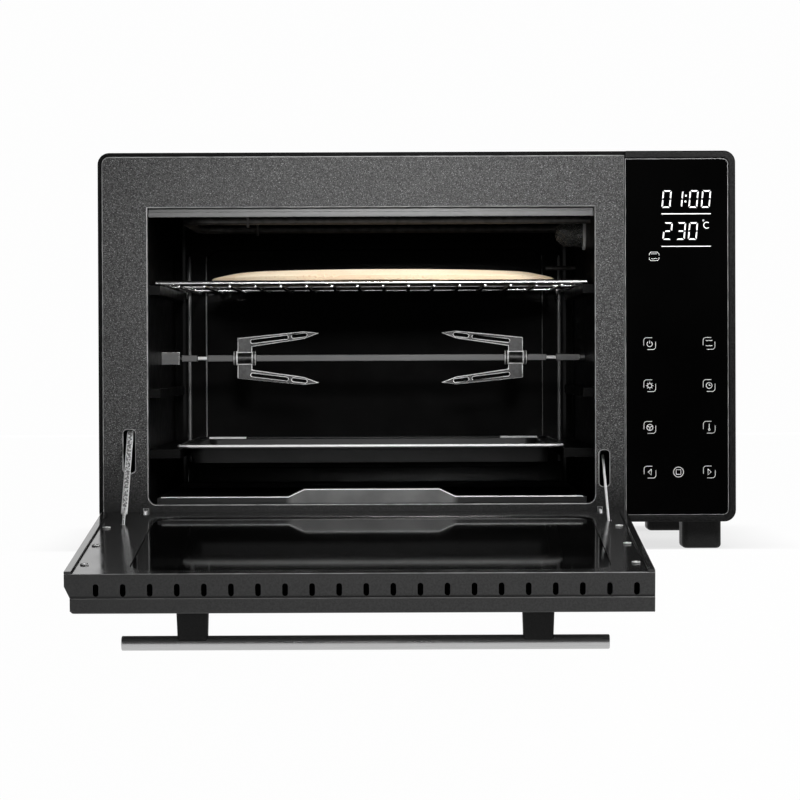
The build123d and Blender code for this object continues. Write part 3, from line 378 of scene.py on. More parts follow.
def finished(node, material, rounding=0.0, segments=2, ease=None, edging=None):
    """A copy of a solid with its sharp edges rounded over, dressed in a material."""
    source = frame["nodes"][node]
    piece = bpy.data.objects.new(node + "_piece", source.data.copy())
    bpy.context.scene.collection.objects.link(piece)
    bpy.ops.object.select_all(action="DESELECT")
    piece.select_set(True)
    bpy.context.view_layer.objects.active = piece
    bpy.ops.object.mode_set(mode="EDIT")
    bpy.ops.mesh.select_all(action="SELECT")
    bpy.ops.mesh.remove_doubles(threshold=MERGE_WITHIN)
    bpy.ops.mesh.dissolve_limited(angle_limit=FLAT_ANGLE)
    bpy.ops.object.mode_set(mode="OBJECT")
    piece.data.materials.clear()
    piece.data.materials.append(material)
    if edging:
        piece.data.materials.append(edging)
    if ease:
        eased(piece, *ease)
    if rounding:
        edge = piece.modifiers.new("edge", "BEVEL")
        edge.width = rounding * MM
        edge.segments = segments
        edge.limit_method = "ANGLE"
        edge.angle_limit = SHARP_ANGLE
        edge.use_clamp_overlap = False
        edge.material = 1 if edging and not ease else -1
        bpy.ops.object.modifier_apply(modifier=edge.name)
    bpy.ops.object.shade_smooth_by_angle(angle=SMOOTH_ANGLE)
    flat = piece.modifiers.new("flat", "WEIGHTED_NORMAL")
    flat.keep_sharp = True
    bpy.ops.object.modifier_apply(modifier=flat.name)
    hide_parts(node)
    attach(piece, source["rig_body"])
    return piece


for corner in ("front_left", "front_right", "rear_left", "rear_right"):
    finished("foot_" + corner, black_plastic, rounding=0.8, segments=3)


# Base plate: plain galvanised sheet with a cloudy spangle and air slots, which rests on
# the turned-in foot of the shell.
base_steel = surface("base_steel", roughness=0.45, metallic=0.9)
spangle = mottled(base_steel, scale=45, low=0.4, high=0.6)
coloured(base_steel, spangle, grey(0.24), grey(0.38))
roughened(base_steel, spangle, low=0.35, high=0.55)
finished("base_plate", base_steel, rounding=0.3)


# Outer shell: one folded sheet over the sides and the top, in satin black paint with a
# faint orange peel and a dull cut edge at the front. The rear panel closes it with
# eight screws, and holds the round bushing of the cord.
SHELL_EDGE_DEPTH = 3
SHELL_EDGE_FACING = 0.3

shell_paint = surface("shell_paint", roughness=0.42, specular=0.25)
peel = mottled(shell_paint, scale=320, low=0.3, high=0.7)
coloured(shell_paint, peel, grey(0.0045), grey(0.0065))
roughened(shell_paint, peel, low=0.40, high=0.44)
bumped(shell_paint, peel, height=0.06)
shell_edge = surface("shell_edge", roughness=0.6, specular=0.06)
coloured(shell_edge, mottled(shell_edge, scale=80), grey(0.003), grey(0.006))
plain_steel = surface("plain_steel", roughness=0.35, metallic=1.0)
rolled = mottled(plain_steel, scale=60, stretch=(1, 12, 12))
coloured(plain_steel, rolled, grey(0.42), grey(0.58))
roughened(plain_steel, rolled, low=0.28, high=0.42)
shell_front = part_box("outer_shell")[0].y + SHELL_EDGE_DEPTH * MM


def marked(piece, material, chosen):
    """Gives the faces of a piece that pass a test a further material."""
    piece.data.materials.append(material)
    for face in piece.data.polygons:
        if chosen(face):
            face.material_index = len(piece.data.materials) - 1


def on_shell_edge(face):
    """Whether a face of the shell lies in its front edge."""
    return face.normal.y < -SHELL_EDGE_FACING and face.center.y < shell_front


outer_shell = finished("outer_shell", shell_paint, rounding=0.3)
marked(outer_shell, shell_edge, on_shell_edge)
finished("rear_panel", shell_paint, rounding=0.25)
finished("rear_screws", plain_steel, rounding=0.15)
finished("cord_bushing", black_plastic, rounding=0.4)


# Front frame: thin folded sheet round the mouth of the cavity, painted charcoal with
# light and dark flecks, and a painted shade that darkens it towards its foot. Its folds
# are rounded, and a pale painted highlight on them draws a fine line of light.
FOLD_EASE = 0.8
FOLD_STEPS = 3
FOLD_DEPTH = 0.01
FOOT_SHADE_LOW = 32
FOOT_SHADE_HIGH = 90


def graded(material, axis, low, high):
    """A field from 0 to 1 between two places along an axis, in millimetres."""
    tree = material.node_tree
    place = tree.nodes.new("ShaderNodeTexCoord")
    parts = tree.nodes.new("ShaderNodeSeparateXYZ")
    span = tree.nodes.new("ShaderNodeMapRange")
    span.inputs["From Min"].default_value = low * MM
    span.inputs["From Max"].default_value = high * MM
    tree.links.new(place.outputs["Object"], parts.inputs[0])
    tree.links.new(parts.outputs[axis], span.inputs["Value"])
    return span.outputs["Result"]


def front_edges(node, depth):
    """A test for the edges of a piece that lie within a depth of its front."""
    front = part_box(node)[0].y + depth * MM
    return lambda edge: all(end.co.y < front for end in edge.verts)


frame_paint = surface("frame_paint", roughness=0.45, specular=0.2)
flecks = mottled(frame_paint, scale=780, low=0.36, high=0.66)
sparks = mottled(frame_paint, scale=1300, low=0.57, high=0.71)
charcoal = blended(frame_paint, flecks, grey(0.010), grey(0.070))
sparkling = blended(frame_paint, sparks, charcoal, grey(0.34))
# Painted shade: the frame fades by height to a near-black tone towards its foot.
foot_shade_colour = blended(frame_paint, flecks, grey(0.004), grey(0.013))
foot_shade_fade = graded(frame_paint, "Z", FOOT_SHADE_LOW, FOOT_SHADE_HIGH)
coloured(frame_paint, foot_shade_fade, foot_shade_colour, sparkling)
roughened(frame_paint, flecks, low=0.4, high=0.52)
bumped(frame_paint, flecks, height=0.05)
# Painted highlight: a pale colour on rounded edges, standing in for the line of light they
# catch.
painted_edge_highlight = surface("painted_edge_highlight", roughness=0.3)
coloured(painted_edge_highlight, mottled(painted_edge_highlight, scale=90, low=0.3, high=0.7), grey(0.2), grey(0.45))
finished(
    "front_frame",
    frame_paint,
    rounding=0.3,
    ease=(FOLD_EASE, FOLD_STEPS, front_edges("front_frame", FOLD_DEPTH)),
    edging=painted_edge_highlight,
)


# Cavity: five pressed sheets in black enamel, glossy on the roof and the back and duller
# elsewhere, with ledges in both sides, a raised field with upright beads in the back,
# and a pale folded lip behind the top of the mouth. The beads are coloured pale as a
# painted highlight.
LIP_DEPTH = 6
LIP_FACING = 0.7
BEAD_LOW = 66
BEAD_HIGH = 258
BEAD_RUN_OUT = 8
BEAD_SINK = 0.8
BEADS = ((28.1, 1.6), (44.6, 0.9), (370.3, 0.9), (387.1, 1.6))
WIRE_SMOOTH_ANGLE = radians(50)

enamel = surface("enamel", roughness=0.1, specular=0.06)
coloured(enamel, mottled(enamel, scale=25), grey(0.0048), grey(0.0068))
roughened(enamel, mottled(enamel, scale=90), low=0.09, high=0.11)
bumped(enamel, mottled(enamel, scale=420, low=0.3, high=0.7), height=0.01)
wall_enamel = surface("wall_enamel", roughness=0.32, specular=0.03)
coloured(wall_enamel, mottled(wall_enamel, scale=25), grey(0.0030), grey(0.0050))
roughened(wall_enamel, mottled(wall_enamel, scale=90), low=0.28, high=0.36)
bumped(wall_enamel, mottled(wall_enamel, scale=420, low=0.3, high=0.7), height=0.02)
lip_paint = surface("lip_paint", roughness=0.35)
lip_grain = mottled(lip_paint, scale=120, low=0.3, high=0.7, stretch=(1, 6, 6))
coloured(lip_paint, lip_grain, grey(0.036), grey(0.062))
# Painted highlight: a pale colour for the beads and for the top front edge of the door's
# outer frame.
painted_line_highlight = surface("painted_line_highlight", roughness=0.3)
coloured(painted_line_highlight, mottled(painted_line_highlight, scale=60), grey(0.13), grey(0.20))
lip_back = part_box("cavity_roof")[0].y + LIP_DEPTH * MM
bead_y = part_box("cavity_back_wall")[1].y / MM - BEAD_SINK


def on_lip(face):
    """Whether a face of the roof lies in its folded lip."""
    return face.normal.y < -LIP_FACING and face.center.y < lip_back


def wire(name, points, radius, material, closed=False):
    """A round wire along a line of points in millimetres."""
    line = bpy.data.curves.new(name, "CURVE")
    line.dimensions = "3D"
    line.bevel_depth = radius * MM
    line.bevel_resolution = 3
    line.use_fill_caps = True
    run = line.splines.new("POLY")
    run.points.add(len(points) - 1)
    for point, place in zip(run.points, points):
        point.co = (*[value * MM for value in place], 1)
    run.use_cyclic_u = closed
    piece = bpy.data.objects.new(name, line)
    bpy.context.scene.collection.objects.link(piece)
    bpy.ops.object.select_all(action="DESELECT")
    piece.select_set(True)
    bpy.context.view_layer.objects.active = piece
    bpy.ops.object.convert(target="MESH")
    piece = bpy.context.active_object
    bpy.ops.object.shade_smooth_by_angle(angle=WIRE_SMOOTH_ANGLE)
    piece.data.materials.clear()
    piece.data.materials.append(material)
    return piece


def joined(piece, *others):
    """One piece made of several, keeping the first one's name and body."""
    bpy.ops.object.select_all(action="DESELECT")
    for other in (piece, *others):
        other.select_set(True)
    bpy.context.view_layer.objects.active = piece
    bpy.ops.object.join()
    return piece


def bead(x, radius):
    """An upright bead of the back wall, running out into the sheet at its top, pale as a
    painted highlight.
    """
    path = [
        (x, bead_y, BEAD_LOW),
        (x, bead_y, BEAD_HIGH),
        (x, bead_y + radius, BEAD_HIGH + BEAD_RUN_OUT),
    ]
    return wire("back_bead", path, radius, painted_line_highlight)


for wall in ("left_wall", "right_wall", "floor"):
    finished("cavity_" + wall, wall_enamel, rounding=0.25)
cavity_roof = finished("cavity_roof", enamel, rounding=0.25)
marked(cavity_roof, lip_paint, on_lip)
cavity_back = finished("cavity_back_wall", enamel, rounding=0.2)
joined(cavity_back, *[bead(x, radius) for x, radius in BEADS])


# Heaters: bent tubular elements with a scaled dark sheath, one hung in clips under the
# roof, and one below the floor in steel saddles on the base plate.
heater_sheath = surface("heater_sheath", roughness=0.5, metallic=0.4)
scale_marks = mottled(heater_sheath, scale=160)
coloured(heater_sheath, scale_marks, (0.060, 0.057, 0.054), (0.110, 0.105, 0.100))
roughened(heater_sheath, scale_marks, low=0.4, high=0.62)
finished("upper_heater", heater_sheath)
finished("lower_heater", heater_sheath)
finished("heater_clips", heater_sheath, rounding=0.15)
finished("heater_saddles", plain_steel, rounding=0.2)


# Oven lamp: ceramic holder behind the wall, glass bulb, and a rippled glass dome in a
# ring whose brightness is a painted highlight, with the thermostat's sensing rod beside it.
ceramic = surface("ceramic", roughness=0.6)
coloured(ceramic, mottled(ceramic, scale=240), (0.66, 0.63, 0.57), (0.78, 0.75, 0.69))
clear_glass = surface("clear_glass", roughness=0.03)
shader_socket(clear_glass, "Base Color").default_value = (0.9, 0.92, 0.92, 1)
shader_socket(clear_glass, "Transmission Weight").default_value = 1.0
roughened(clear_glass, mottled(clear_glass, scale=90), low=0.02, high=0.08)
dome_glass = surface("dome_glass", roughness=0.15)
shader_socket(dome_glass, "Transmission Weight").default_value = 0.9
ripple = mottled(dome_glass, scale=130, low=0.3, high=0.7)
coloured(dome_glass, ripple, (0.30, 0.30, 0.29), (0.70, 0.70, 0.68))
roughened(dome_glass, ripple, low=0.04, high=0.14)
bumped(dome_glass, ripple, height=2.0)
# Painted highlight: a near-white, almost matt steel for small parts and edges, standing in
# for the glints of bare metal.
painted_highlight_steel = surface("painted_highlight_steel", roughness=0.4, metallic=0.1)
highlight_mottle = mottled(painted_highlight_steel, scale=50, low=0.3, high=0.7)
coloured(painted_highlight_steel, highlight_mottle, grey(0.84), grey(0.96))
roughened(painted_highlight_steel, highlight_mottle, low=0.35, high=0.5)
finished("lamp_holder", ceramic, rounding=0.4)
finished("lamp_bulb", clear_glass)
finished("lamp_cover", dome_glass)
finished("lamp_ring", painted_highlight_steel, rounding=0.5, segments=3)
finished("temperature_probe", heater_sheath, rounding=0.2)


# Spit drive: zinc-plated gear motor behind the right wall, whose steel sleeve, square
# inside, reaches through the wall, and a bored steel block on the left wall. Sleeve and
# block carry a painted highlight along their edges, in bright steel.
motor_zinc = surface("motor_zinc", roughness=0.4, metallic=1.0)
plated = mottled(motor_zinc, scale=80)
coloured(motor_zinc, plated, (0.36, 0.37, 0.38), (0.5, 0.51, 0.53))
roughened(motor_zinc, plated, low=0.32, high=0.5)
spit_steel = surface("spit_steel", roughness=0.42, metallic=0.9)
drawn = mottled(spit_steel, scale=40, low=0.3, high=0.7, stretch=(1, 10, 10))
coloured(spit_steel, drawn, grey(0.050), grey(0.066))
roughened(spit_steel, drawn, low=0.38, high=0.48)
bright_steel = surface("bright_steel", roughness=0.18, metallic=1.0)
wipe = mottled(bright_steel, scale=70, low=0.3, high=0.7, stretch=(1, 8, 8))
coloured(bright_steel, wipe, grey(0.48), grey(0.60))
roughened(bright_steel, wipe, low=0.15, high=0.22)
finished("spit_motor", motor_zinc, rounding=0.6)
# Painted highlight: the rounded edges of sleeve and block take the bright steel.
finished("drive_socket", spit_steel, rounding=0.3, edging=bright_steel)
finished("spit_support", spit_steel, rounding=0.6, segments=3, edging=bright_steel)


# Spit: square drawn bar with two turned necks, and two pressed forks held by thumb
# screws. The forks are dull on their faces. The necks, and the edges and slots of the
# forks and of the thumb screws, carry a painted highlight.
NECK_R = 1.8
NECK_FACING = 0.3

fork_steel = surface("fork_steel", roughness=0.4, metallic=0.7)
pressed = mottled(fork_steel, scale=300)
coloured(fork_steel, pressed, grey(0.02), grey(0.045))
roughened(fork_steel, pressed, low=0.34, high=0.46)
spit_low, spit_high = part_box("spit_rod")
spit_axis = (spit_low + spit_high) / 2


def on_neck(face):
    """Whether a face of the spit lies round one of its turned necks."""
    away = (face.center - spit_axis).yz.length
    return away < NECK_R * MM and abs(face.normal.x) < NECK_FACING


spit_rod = finished("spit_rod", spit_steel, rounding=0.45, segments=3)
marked(spit_rod, painted_highlight_steel, on_neck)
for hand in ("left", "right"):
    finished("fork_" + hand, fork_steel, rounding=0.65, segments=3, edging=painted_highlight_steel)
    finished("thumb_screw_" + hand, fork_steel, rounding=0.4, segments=3, edging=painted_highlight_steel)


# Wire rack: bright welded steel wires on the upper ledge, with two stops bent down at
# the rear.
STOP_R = 1.4
STOP_DROP = 9.5
STOP_STRAIGHT = 0.7
STOP_HOOK = 3
STOP_INSET = 3.5
STOP_SINK = 2.2
STOP_PLACES = (27.0, 384.2)

rack_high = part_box("wire_rack")[1] / MM
stop_y = rack_high.y - STOP_INSET
stop_z = rack_high.z - STOP_SINK


def rack_stop(x):
    """A short wire down from the rear bar, bent forward at its end."""
    path = [
        (x, stop_y, stop_z),
        (x, stop_y, stop_z - STOP_DROP * STOP_STRAIGHT),
        (x, stop_y - STOP_HOOK, stop_z - STOP_DROP),
    ]
    return wire("rack_stop", path, STOP_R, bright_steel)


wire_rack = finished("wire_rack", bright_steel, rounding=0.8, segments=3)
joined(wire_rack, *[rack_stop(x) for x in STOP_PLACES])


# Stone: a round slab of fired clay that lies loose on the rack, pale and cloudy with
# fine darker specks. Its upper edge is rounded and drawn in.
STONE_EASE = 4.6
STONE_STEPS = 6
STONE_TAPER = 0.12
STONE_TOP_DEPTH = 0.1

stone = surface("stone", roughness=0.85, specular=0.2)
shader_socket(stone, "Diffuse Roughness").default_value = 1.0
baked = blended(stone, mottled(stone, scale=22), (0.90, 0.71, 0.51), (0.91, 0.78, 0.59))
coloured(stone, mottled(stone, scale=420, low=0.6, high=0.75), baked, (0.76, 0.56, 0.38))
bumped(stone, mottled(stone, scale=500), height=0.1)
stone_low, stone_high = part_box("pizza_stone")
stone_mid = (stone_low + stone_high) / 2


def on_stone_top(edge):
    """Whether an edge of the stone lies in its upper face."""
    return all(end.co.z > stone_high.z - STONE_TOP_DEPTH * MM for end in edge.verts)


pizza_stone = finished(
    "pizza_stone",
    stone,
    rounding=0.6,
    segments=3,
    ease=(STONE_EASE, STONE_STEPS, on_stone_top),
)
for vertex in pizza_stone.data.vertices:
    risen = max(0.0, vertex.co.z - stone_mid.z) / (stone_high.z - stone_mid.z)
    drawn_in = 1 - STONE_TAPER * risen
    vertex.co.x = stone_mid.x + (vertex.co.x - stone_mid.x) * drawn_in
    vertex.co.y = stone_mid.y + (vertex.co.y - stone_mid.y) * drawn_in
bpy.ops.mesh.customdata_custom_splitnormals_clear()
bpy.ops.object.shade_smooth_by_angle(angle=SMOOTH_ANGLE)


# Baking tray: pressed sheet in dark enamel on the lower ledge, its rim rolled over a
# wire. The rim carries a painted highlight along its front and at the two ends of its
# rear, and is dark enamel elsewhere.
RIM_R = 1.2
RIM_RISE = 0.7
RIM_CORNER = 13.0
RIM_STEPS = 6
RIM_GLINT_FROM = 123
RIM_END = 158

tray_enamel = surface("tray_enamel", roughness=0.35, specular=0.25)
coloured(tray_enamel, mottled(tray_enamel, scale=45), grey(0.006), grey(0.010))
tray_low, tray_high = (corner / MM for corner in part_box("baking_tray"))
rim_z = tray_high.z + RIM_RISE
rim_mid = (tray_low.x + tray_high.x) / 2
rim_inset = RIM_CORNER + RIM_R


def rim_corner(turn_x, turn_y, start):
    """Points round one corner of the rim, a quarter turn from a start in degrees."""
    angles = [radians(start + 90 * step / RIM_STEPS) for step in range(RIM_STEPS + 1)]
    return [
        (turn_x + RIM_CORNER * cos(angle), turn_y + RIM_CORNER * sin(angle), rim_z)
        for angle in angles
    ]


def dark_rim(face):
    """Whether a face of the rim lies off its front, and off the two ends of its rear."""
    place = face.center / MM
    off = abs(place.x - rim_mid)
    rear_end = place.y > tray_high.y - RIM_CORNER and RIM_GLINT_FROM < off < RIM_END
    return place.y > tray_low.y + RIM_CORNER and not rear_end


rim_points = [
    *rim_corner(tray_high.x - rim_inset, tray_high.y - rim_inset, 0),
    (rim_mid + RIM_GLINT_FROM, tray_high.y - RIM_R, rim_z),
    (rim_mid - RIM_GLINT_FROM, tray_high.y - RIM_R, rim_z),
    *rim_corner(tray_low.x + rim_inset, tray_high.y - rim_inset, 90),
    *rim_corner(tray_low.x + rim_inset, tray_low.y + rim_inset, 180),
    *rim_corner(tray_high.x - rim_inset, tray_low.y + rim_inset, 270),
]
baking_tray = finished("baking_tray", tray_enamel, rounding=0.25)
tray_rim = wire("tray_rim", rim_points, RIM_R, painted_highlight_steel, closed=True)
marked(tray_rim, tray_enamel, dark_rim)
joined(baking_tray, tray_rim)


# Crumb tray: a shallow pan of dark sheet steel that slides on the cavity floor, with a
# raised pull of bare steel in the middle and a hem along its front edge that carries a
# painted highlight.
HEM_R = 0.8
HEM_START = 1
HEM_LEVEL = 4
HEM_DIP = 3
PULL_RISE = 6.5
PULL_FOOT = 144.2 / 2
PULL_TOP = 116.5 / 2
PULL_FADE = 3
PULL_BACK = 8
PULL_FRONT = 4

crumb_low, crumb_high = (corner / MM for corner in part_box("crumb_tray"))
hem_y = crumb_low.y + HEM_R
hem_z = crumb_high.z - PULL_RISE
pull_x = (crumb_low.x + crumb_high.x) / 2
pull_left = pull_x - PULL_FOOT
pull_right = pull_x + PULL_FOOT
crumb_steel = surface("crumb_steel", roughness=0.4, metallic=0.2, specular=0.3)
bare_grain = mottled(crumb_steel, scale=35, low=0.3, high=0.7)
bare = blended(crumb_steel, bare_grain, grey(0.08), grey(0.13))
pull_start = graded(crumb_steel, "X", pull_left - PULL_FADE, pull_left + PULL_FADE)
pull_end = graded(crumb_steel, "X", pull_right + PULL_FADE, pull_right - PULL_FADE)
pull_back = graded(crumb_steel, "Y", crumb_low.y + PULL_BACK, crumb_low.y + PULL_FRONT)
begun = blended(crumb_steel, pull_start, grey(0.008), bare)
ended = blended(crumb_steel, pull_end, grey(0.008), begun)
coloured(crumb_steel, pull_back, grey(0.006), ended)
hem_points = [
    (crumb_low.x + HEM_START, hem_y, hem_z - HEM_DIP),
    (crumb_low.x + HEM_LEVEL, hem_y, hem_z),
    (pull_left, hem_y, hem_z),
    (pull_x - PULL_TOP, hem_y, hem_z + PULL_RISE),
    (pull_x + PULL_TOP, hem_y, hem_z + PULL_RISE),
    (pull_right, hem_y, hem_z),
    (crumb_high.x - HEM_LEVEL, hem_y, hem_z),
    (crumb_high.x - HEM_START, hem_y, hem_z - HEM_DIP),
]
crumb_tray = finished("crumb_tray", crumb_steel, rounding=0.2)
joined(crumb_tray, wire("crumb_hem", hem_points, HEM_R, painted_highlight_steel))


# Convection fan: a pressed steel wheel in a zinc-plated cover behind the right wall,
# on the shaft of its own motor.
finished("fan_cover", motor_zinc, rounding=0.4)
finished("fan_motor", motor_zinc, rounding=0.4)
finished("fan_wheel", plain_steel, rounding=0.1)


# Control column: painted moulding with rounded edges round a black glass with a painted
# highlight along its ground edge. The green touch board and the dark display sit behind
# the glass, and the power board stands over the base plate.
bezel_paint = surface("bezel_paint", roughness=0.4, specular=0.06)
bezel_grain = mottled(bezel_paint, scale=620)
coloured(bezel_paint, bezel_grain, grey(0.009), grey(0.020))
bumped(bezel_paint, bezel_grain, height=0.02)
control_glass = surface("control_glass", roughness=0.04, specular=0.03)
coloured(control_glass, mottled(control_glass, scale=8), grey(0.0008), grey(0.0016))
circuit_board = surface("circuit_board", roughness=0.45)
solder_mask = mottled(circuit_board, scale=300)
coloured(circuit_board, solder_mask, (0.02, 0.09, 0.035), (0.04, 0.15, 0.06))
display = surface("display", roughness=0.25)
coloured(display, mottled(display, scale=200), grey(0.006), grey(0.012))
finished("control_bezel", bezel_paint, rounding=1.1, segments=4)
finished("control_glass", control_glass, rounding=0.6, segments=3, edging=painted_edge_highlight)
finished("touch_board", circuit_board, rounding=0.2)
finished("power_board", circuit_board, rounding=0.2)
finished("display_module", display, rounding=0.4)


# Lit figures: seven-bar digits for the time and the heat, with two rules and a small
# sign of the chosen mode, all shining white through the glass.
DIGIT_W = 7.6
DIGIT_H = 15.0
DIGIT_BAR = 1.1
DIGIT_GAP = 0.75
DIGIT_SPLIT = 0.5
DIGIT_LEAN = 0.09
LIT_RISE = 0.06
TIME_ROW = 294.8
TIME_FIGURES = (("0", 458.3), ("1", 468.4), ("0", 481.5), ("0", 492.2))
HEAT_ROW = 267.2
HEAT_FIGURES = (("2", 459.1), ("3", 470.6), ("0", 480.9))
SHOWN_BARS = {
    "0": "top low top_left low_left top_right low_right",
    "1": "top_right low_right",
    "2": "top low mid low_left top_right",
    "3": "top low mid top_right low_right",
}
RULE_LEFT = 458.2
RULE_RIGHT = 500.8
RULES = ((289.6, 0.75), (261.6, 0.55))
COLON_DOTS = ((479.4, 305.2), (479.0, 300.2))
COLON_HALF = 0.7
COLON_LINE = 0.75
CELSIUS_PLACE = (497.3, 279.7)
CELSIUS_R = 2.6
CELSIUS_OPEN = 50
CELSIUS_LINE = 0.3
DEGREE_PLACE = (494.4, 283.8)
DEGREE_R = 0.6
DEGREE_LINE = 0.15
MODE_PLACE = (451.9, 253.0)
MODE_LINE = 0.1
MODE_ARCH = ((-4.2, 0.8), (-4.2, 2.4), (-2.8, 3.7), (2.8, 3.7), (4.2, 2.4), (4.2, 0.8))
MODE_UPPER = ((-2.6, 2.2), (2.6, 2.2))
MODE_LOWER = ((-2.6, -1.7), (-0.9, -2.2), (0.9, -1.7), (2.6, -2.2))
STROKE_FLAT = 0.15
ARC_STEPS = 24
PLANE_TURN = (0, 1, 3, 2)
MIRROR_TURN = (1, 0, 3, 2)

glass_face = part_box("control_glass")[0].y / MM
lit = surface("lit", roughness=0.5)
coloured(lit, mottled(lit, scale=260, low=0.2, high=0.8), grey(0.80), grey(0.86))
shader_socket(lit, "Emission Color").default_value = (1, 1, 1, 1)
shader_socket(lit, "Emission Strength").default_value = 0.9


def lit_bar(corners):
    """A four-cornered lit mark on the face of the glass."""
    bpy.ops.mesh.primitive_plane_add(size=1)
    bar = bpy.context.active_object
    for index, (x, z) in zip(PLANE_TURN, corners):
        bar.data.vertices[index].co = (x * MM, (glass_face - LIT_RISE) * MM, z * MM)
    bar.data.materials.append(lit)
    return bar


def digit_bars(figure):
    """The corners of each lit bar of a figure, in its own upright box."""
    bar = DIGIT_BAR
    gap = DIGIT_GAP
    inner = bar + gap
    far = DIGIT_W - inner
    top = DIGIT_H
    mid_low = (DIGIT_H - bar) / 2
    mid_high = (DIGIT_H + bar) / 2
    left_low = DIGIT_H / 2 - DIGIT_SPLIT
    left_high = DIGIT_H / 2 + DIGIT_SPLIT
    bars = {
        "top": [(inner, top - bar), (far, top - bar), (DIGIT_W - gap, top), (gap, top)],
        "low": [(gap, 0), (DIGIT_W - gap, 0), (far, bar), (inner, bar)],
        "mid": [(inner, mid_low), (far, mid_low), (far, mid_high), (inner, mid_high)],
        "top_left": [
            (0, left_high),
            (bar, mid_high + DIGIT_SPLIT),
            (bar, top - inner),
            (0, top - gap),
        ],
        "low_left": [(0, gap), (bar, inner), (bar, mid_low - DIGIT_SPLIT), (0, left_low)],
    }
    for side in ("top_left", "low_left"):
        mirrored = [(DIGIT_W - x, z) for x, z in bars[side]]
        bars[side.replace("left", "right")] = [mirrored[index] for index in MIRROR_TURN]
    return [bars[name] for name in SHOWN_BARS[figure].split()]


def on_glass(x, z, pairs):
    """Points on the face of the glass about a middle."""
    return [(x + right, glass_face, z + up) for right, up in pairs]


def round_pair(radius, angle):
    """A place at a distance and an angle in degrees from a middle."""
    return (radius * cos(radians(angle)), radius * sin(radians(angle)))


def arc(x, z, radius, start=0, end=360):
    """Points of an arc on the face of the glass, between two angles in degrees."""
    angles = [start + (end - start) * step / ARC_STEPS for step in range(ARC_STEPS + 1)]
    return on_glass(x, z, [round_pair(radius, angle) for angle in angles])


def strokes(paths, radius, material):
    """Flat drawn lines on the face of the glass, each a list of points."""
    lines = [wire("stroke", path, radius, material) for path in paths]
    for line in lines:
        for vertex in line.data.vertices:
            proud = abs(vertex.co.y - glass_face * MM)
            vertex.co.y = glass_face * MM - proud * STROKE_FLAT
    return lines


marks = []
for row_z, figures in ((TIME_ROW, TIME_FIGURES), (HEAT_ROW, HEAT_FIGURES)):
    for figure, left in figures:
        for corners in digit_bars(figure):
            leaned = [(left + x + DIGIT_LEAN * z, row_z + z) for x, z in corners]
            marks.append(lit_bar(leaned))
for rule_z, rule_t in RULES:
    rule_low = rule_z - rule_t / 2
    rule_high = rule_z + rule_t / 2
    lower_side = [(RULE_LEFT, rule_low), (RULE_RIGHT, rule_low)]
    upper_side = [(RULE_RIGHT, rule_high), (RULE_LEFT, rule_high)]
    marks.append(lit_bar(lower_side + upper_side))
dots = [on_glass(x, z, [(-COLON_HALF, 0), (COLON_HALF, 0)]) for x, z in COLON_DOTS]
marks += strokes(dots, COLON_LINE, lit)
celsius = arc(*CELSIUS_PLACE, CELSIUS_R, CELSIUS_OPEN, 360 - CELSIUS_OPEN)
marks += strokes([celsius], CELSIUS_LINE, lit)
marks += strokes([arc(*DEGREE_PLACE, DEGREE_R)], DEGREE_LINE, lit)
mode_foot = [(right, -up) for right, up in MODE_ARCH]
mode_sign = [
    on_glass(*MODE_PLACE, pairs) for pairs in (MODE_ARCH, mode_foot, MODE_UPPER, MODE_LOWER)
]
marks += strokes(mode_sign, MODE_LINE, lit)
lit_figures = joined(*marks)
lit_figures.name = "lit_figures"
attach(lit_figures, "oven")


# Touch marks: plain signs printed in pale grey on the glass, eight of them each in an
# open square bracket, and a round one between the last two. The print has a faint
# painted glow.
MARK_HALF = 5.1
MARK_ROUND = 2.4
MARK_TAIL = 1.6
MARK_REACH = 2.0
MARK_BEND_STEP = 15
SIGN_LINE = 0.3
BRACKET_LINE = 0.22
LEFT_X = 447.8
RIGHT_X = 499.0
MIDDLE_X = 472.4
ROWS = (177.8, 141.5, 105.5, 66.9)
POWER_DROP = 0.3
POWER_RING = (2.3, 125, 415)
POWER_STROKE = ((0, 0), (0, 2.6))
HEAT_WAVE = ((-2.9, 0), (-1.4, -0.4), (0, 0), (1.4, -0.4), (2.9, 0))
HEAT_WAVE_UPS = (2.7, -1.8)
LAMP_R = 1.8
LAMP_RAYS = (2.3, 3.1, 8)
CLOCK_R = 2.5
CLOCK_HANDS = ((0, 1.5), (0, 0), (1.2, 0))
FAN_R = 2.6
FAN_BLADES = (0.2, 2.4, 3, 30)
LEVEL_STEM = ((0, -1.5), (0, 3.0))
LEVEL_DROP = 2.0
LEVEL_BULB_R = 0.7
ARROW = ((1.1, 2.5), (-1.6, 0), (1.1, -2.5), (1.1, 2.5))
GO_R = 4.3
GO_SQUARE = ((-2, -2), (2, -2), (2, 2), (-2, 2), (-2, -2))

print_white = surface("print_white", roughness=0.6)
coloured(print_white, mottled(print_white, scale=300), grey(0.75), grey(0.88))
# Painted light: the print glows faintly though nothing lights it from behind.
shader_socket(print_white, "Emission Color").default_value = (1, 1, 1, 1)
shader_socket(print_white, "Emission Strength").default_value = 0.2


def bracket(x, z):
    """Two bent lines that frame a sign, open at two corners."""
    turn = MARK_HALF - MARK_ROUND
    bend = [round_pair(MARK_ROUND, angle) for angle in range(0, 91, MARK_BEND_STEP)]
    upper = [(-MARK_HALF, -MARK_TAIL)]
    upper += [(-turn - right, turn + up) for right, up in bend]
    upper += [(MARK_REACH, MARK_HALF)]
    lower = [(-right, -up) for right, up in upper]
    return [on_glass(x, z, upper), on_glass(x, z, lower)]


def spokes(x, z, inner, outer, count, turn=90):
    """Short lines that point away from a middle."""
    angles = [turn + 360 * spoke / count for spoke in range(count)]
    return [
        on_glass(x, z, [round_pair(inner, angle), round_pair(outer, angle)])
        for angle in angles
    ]


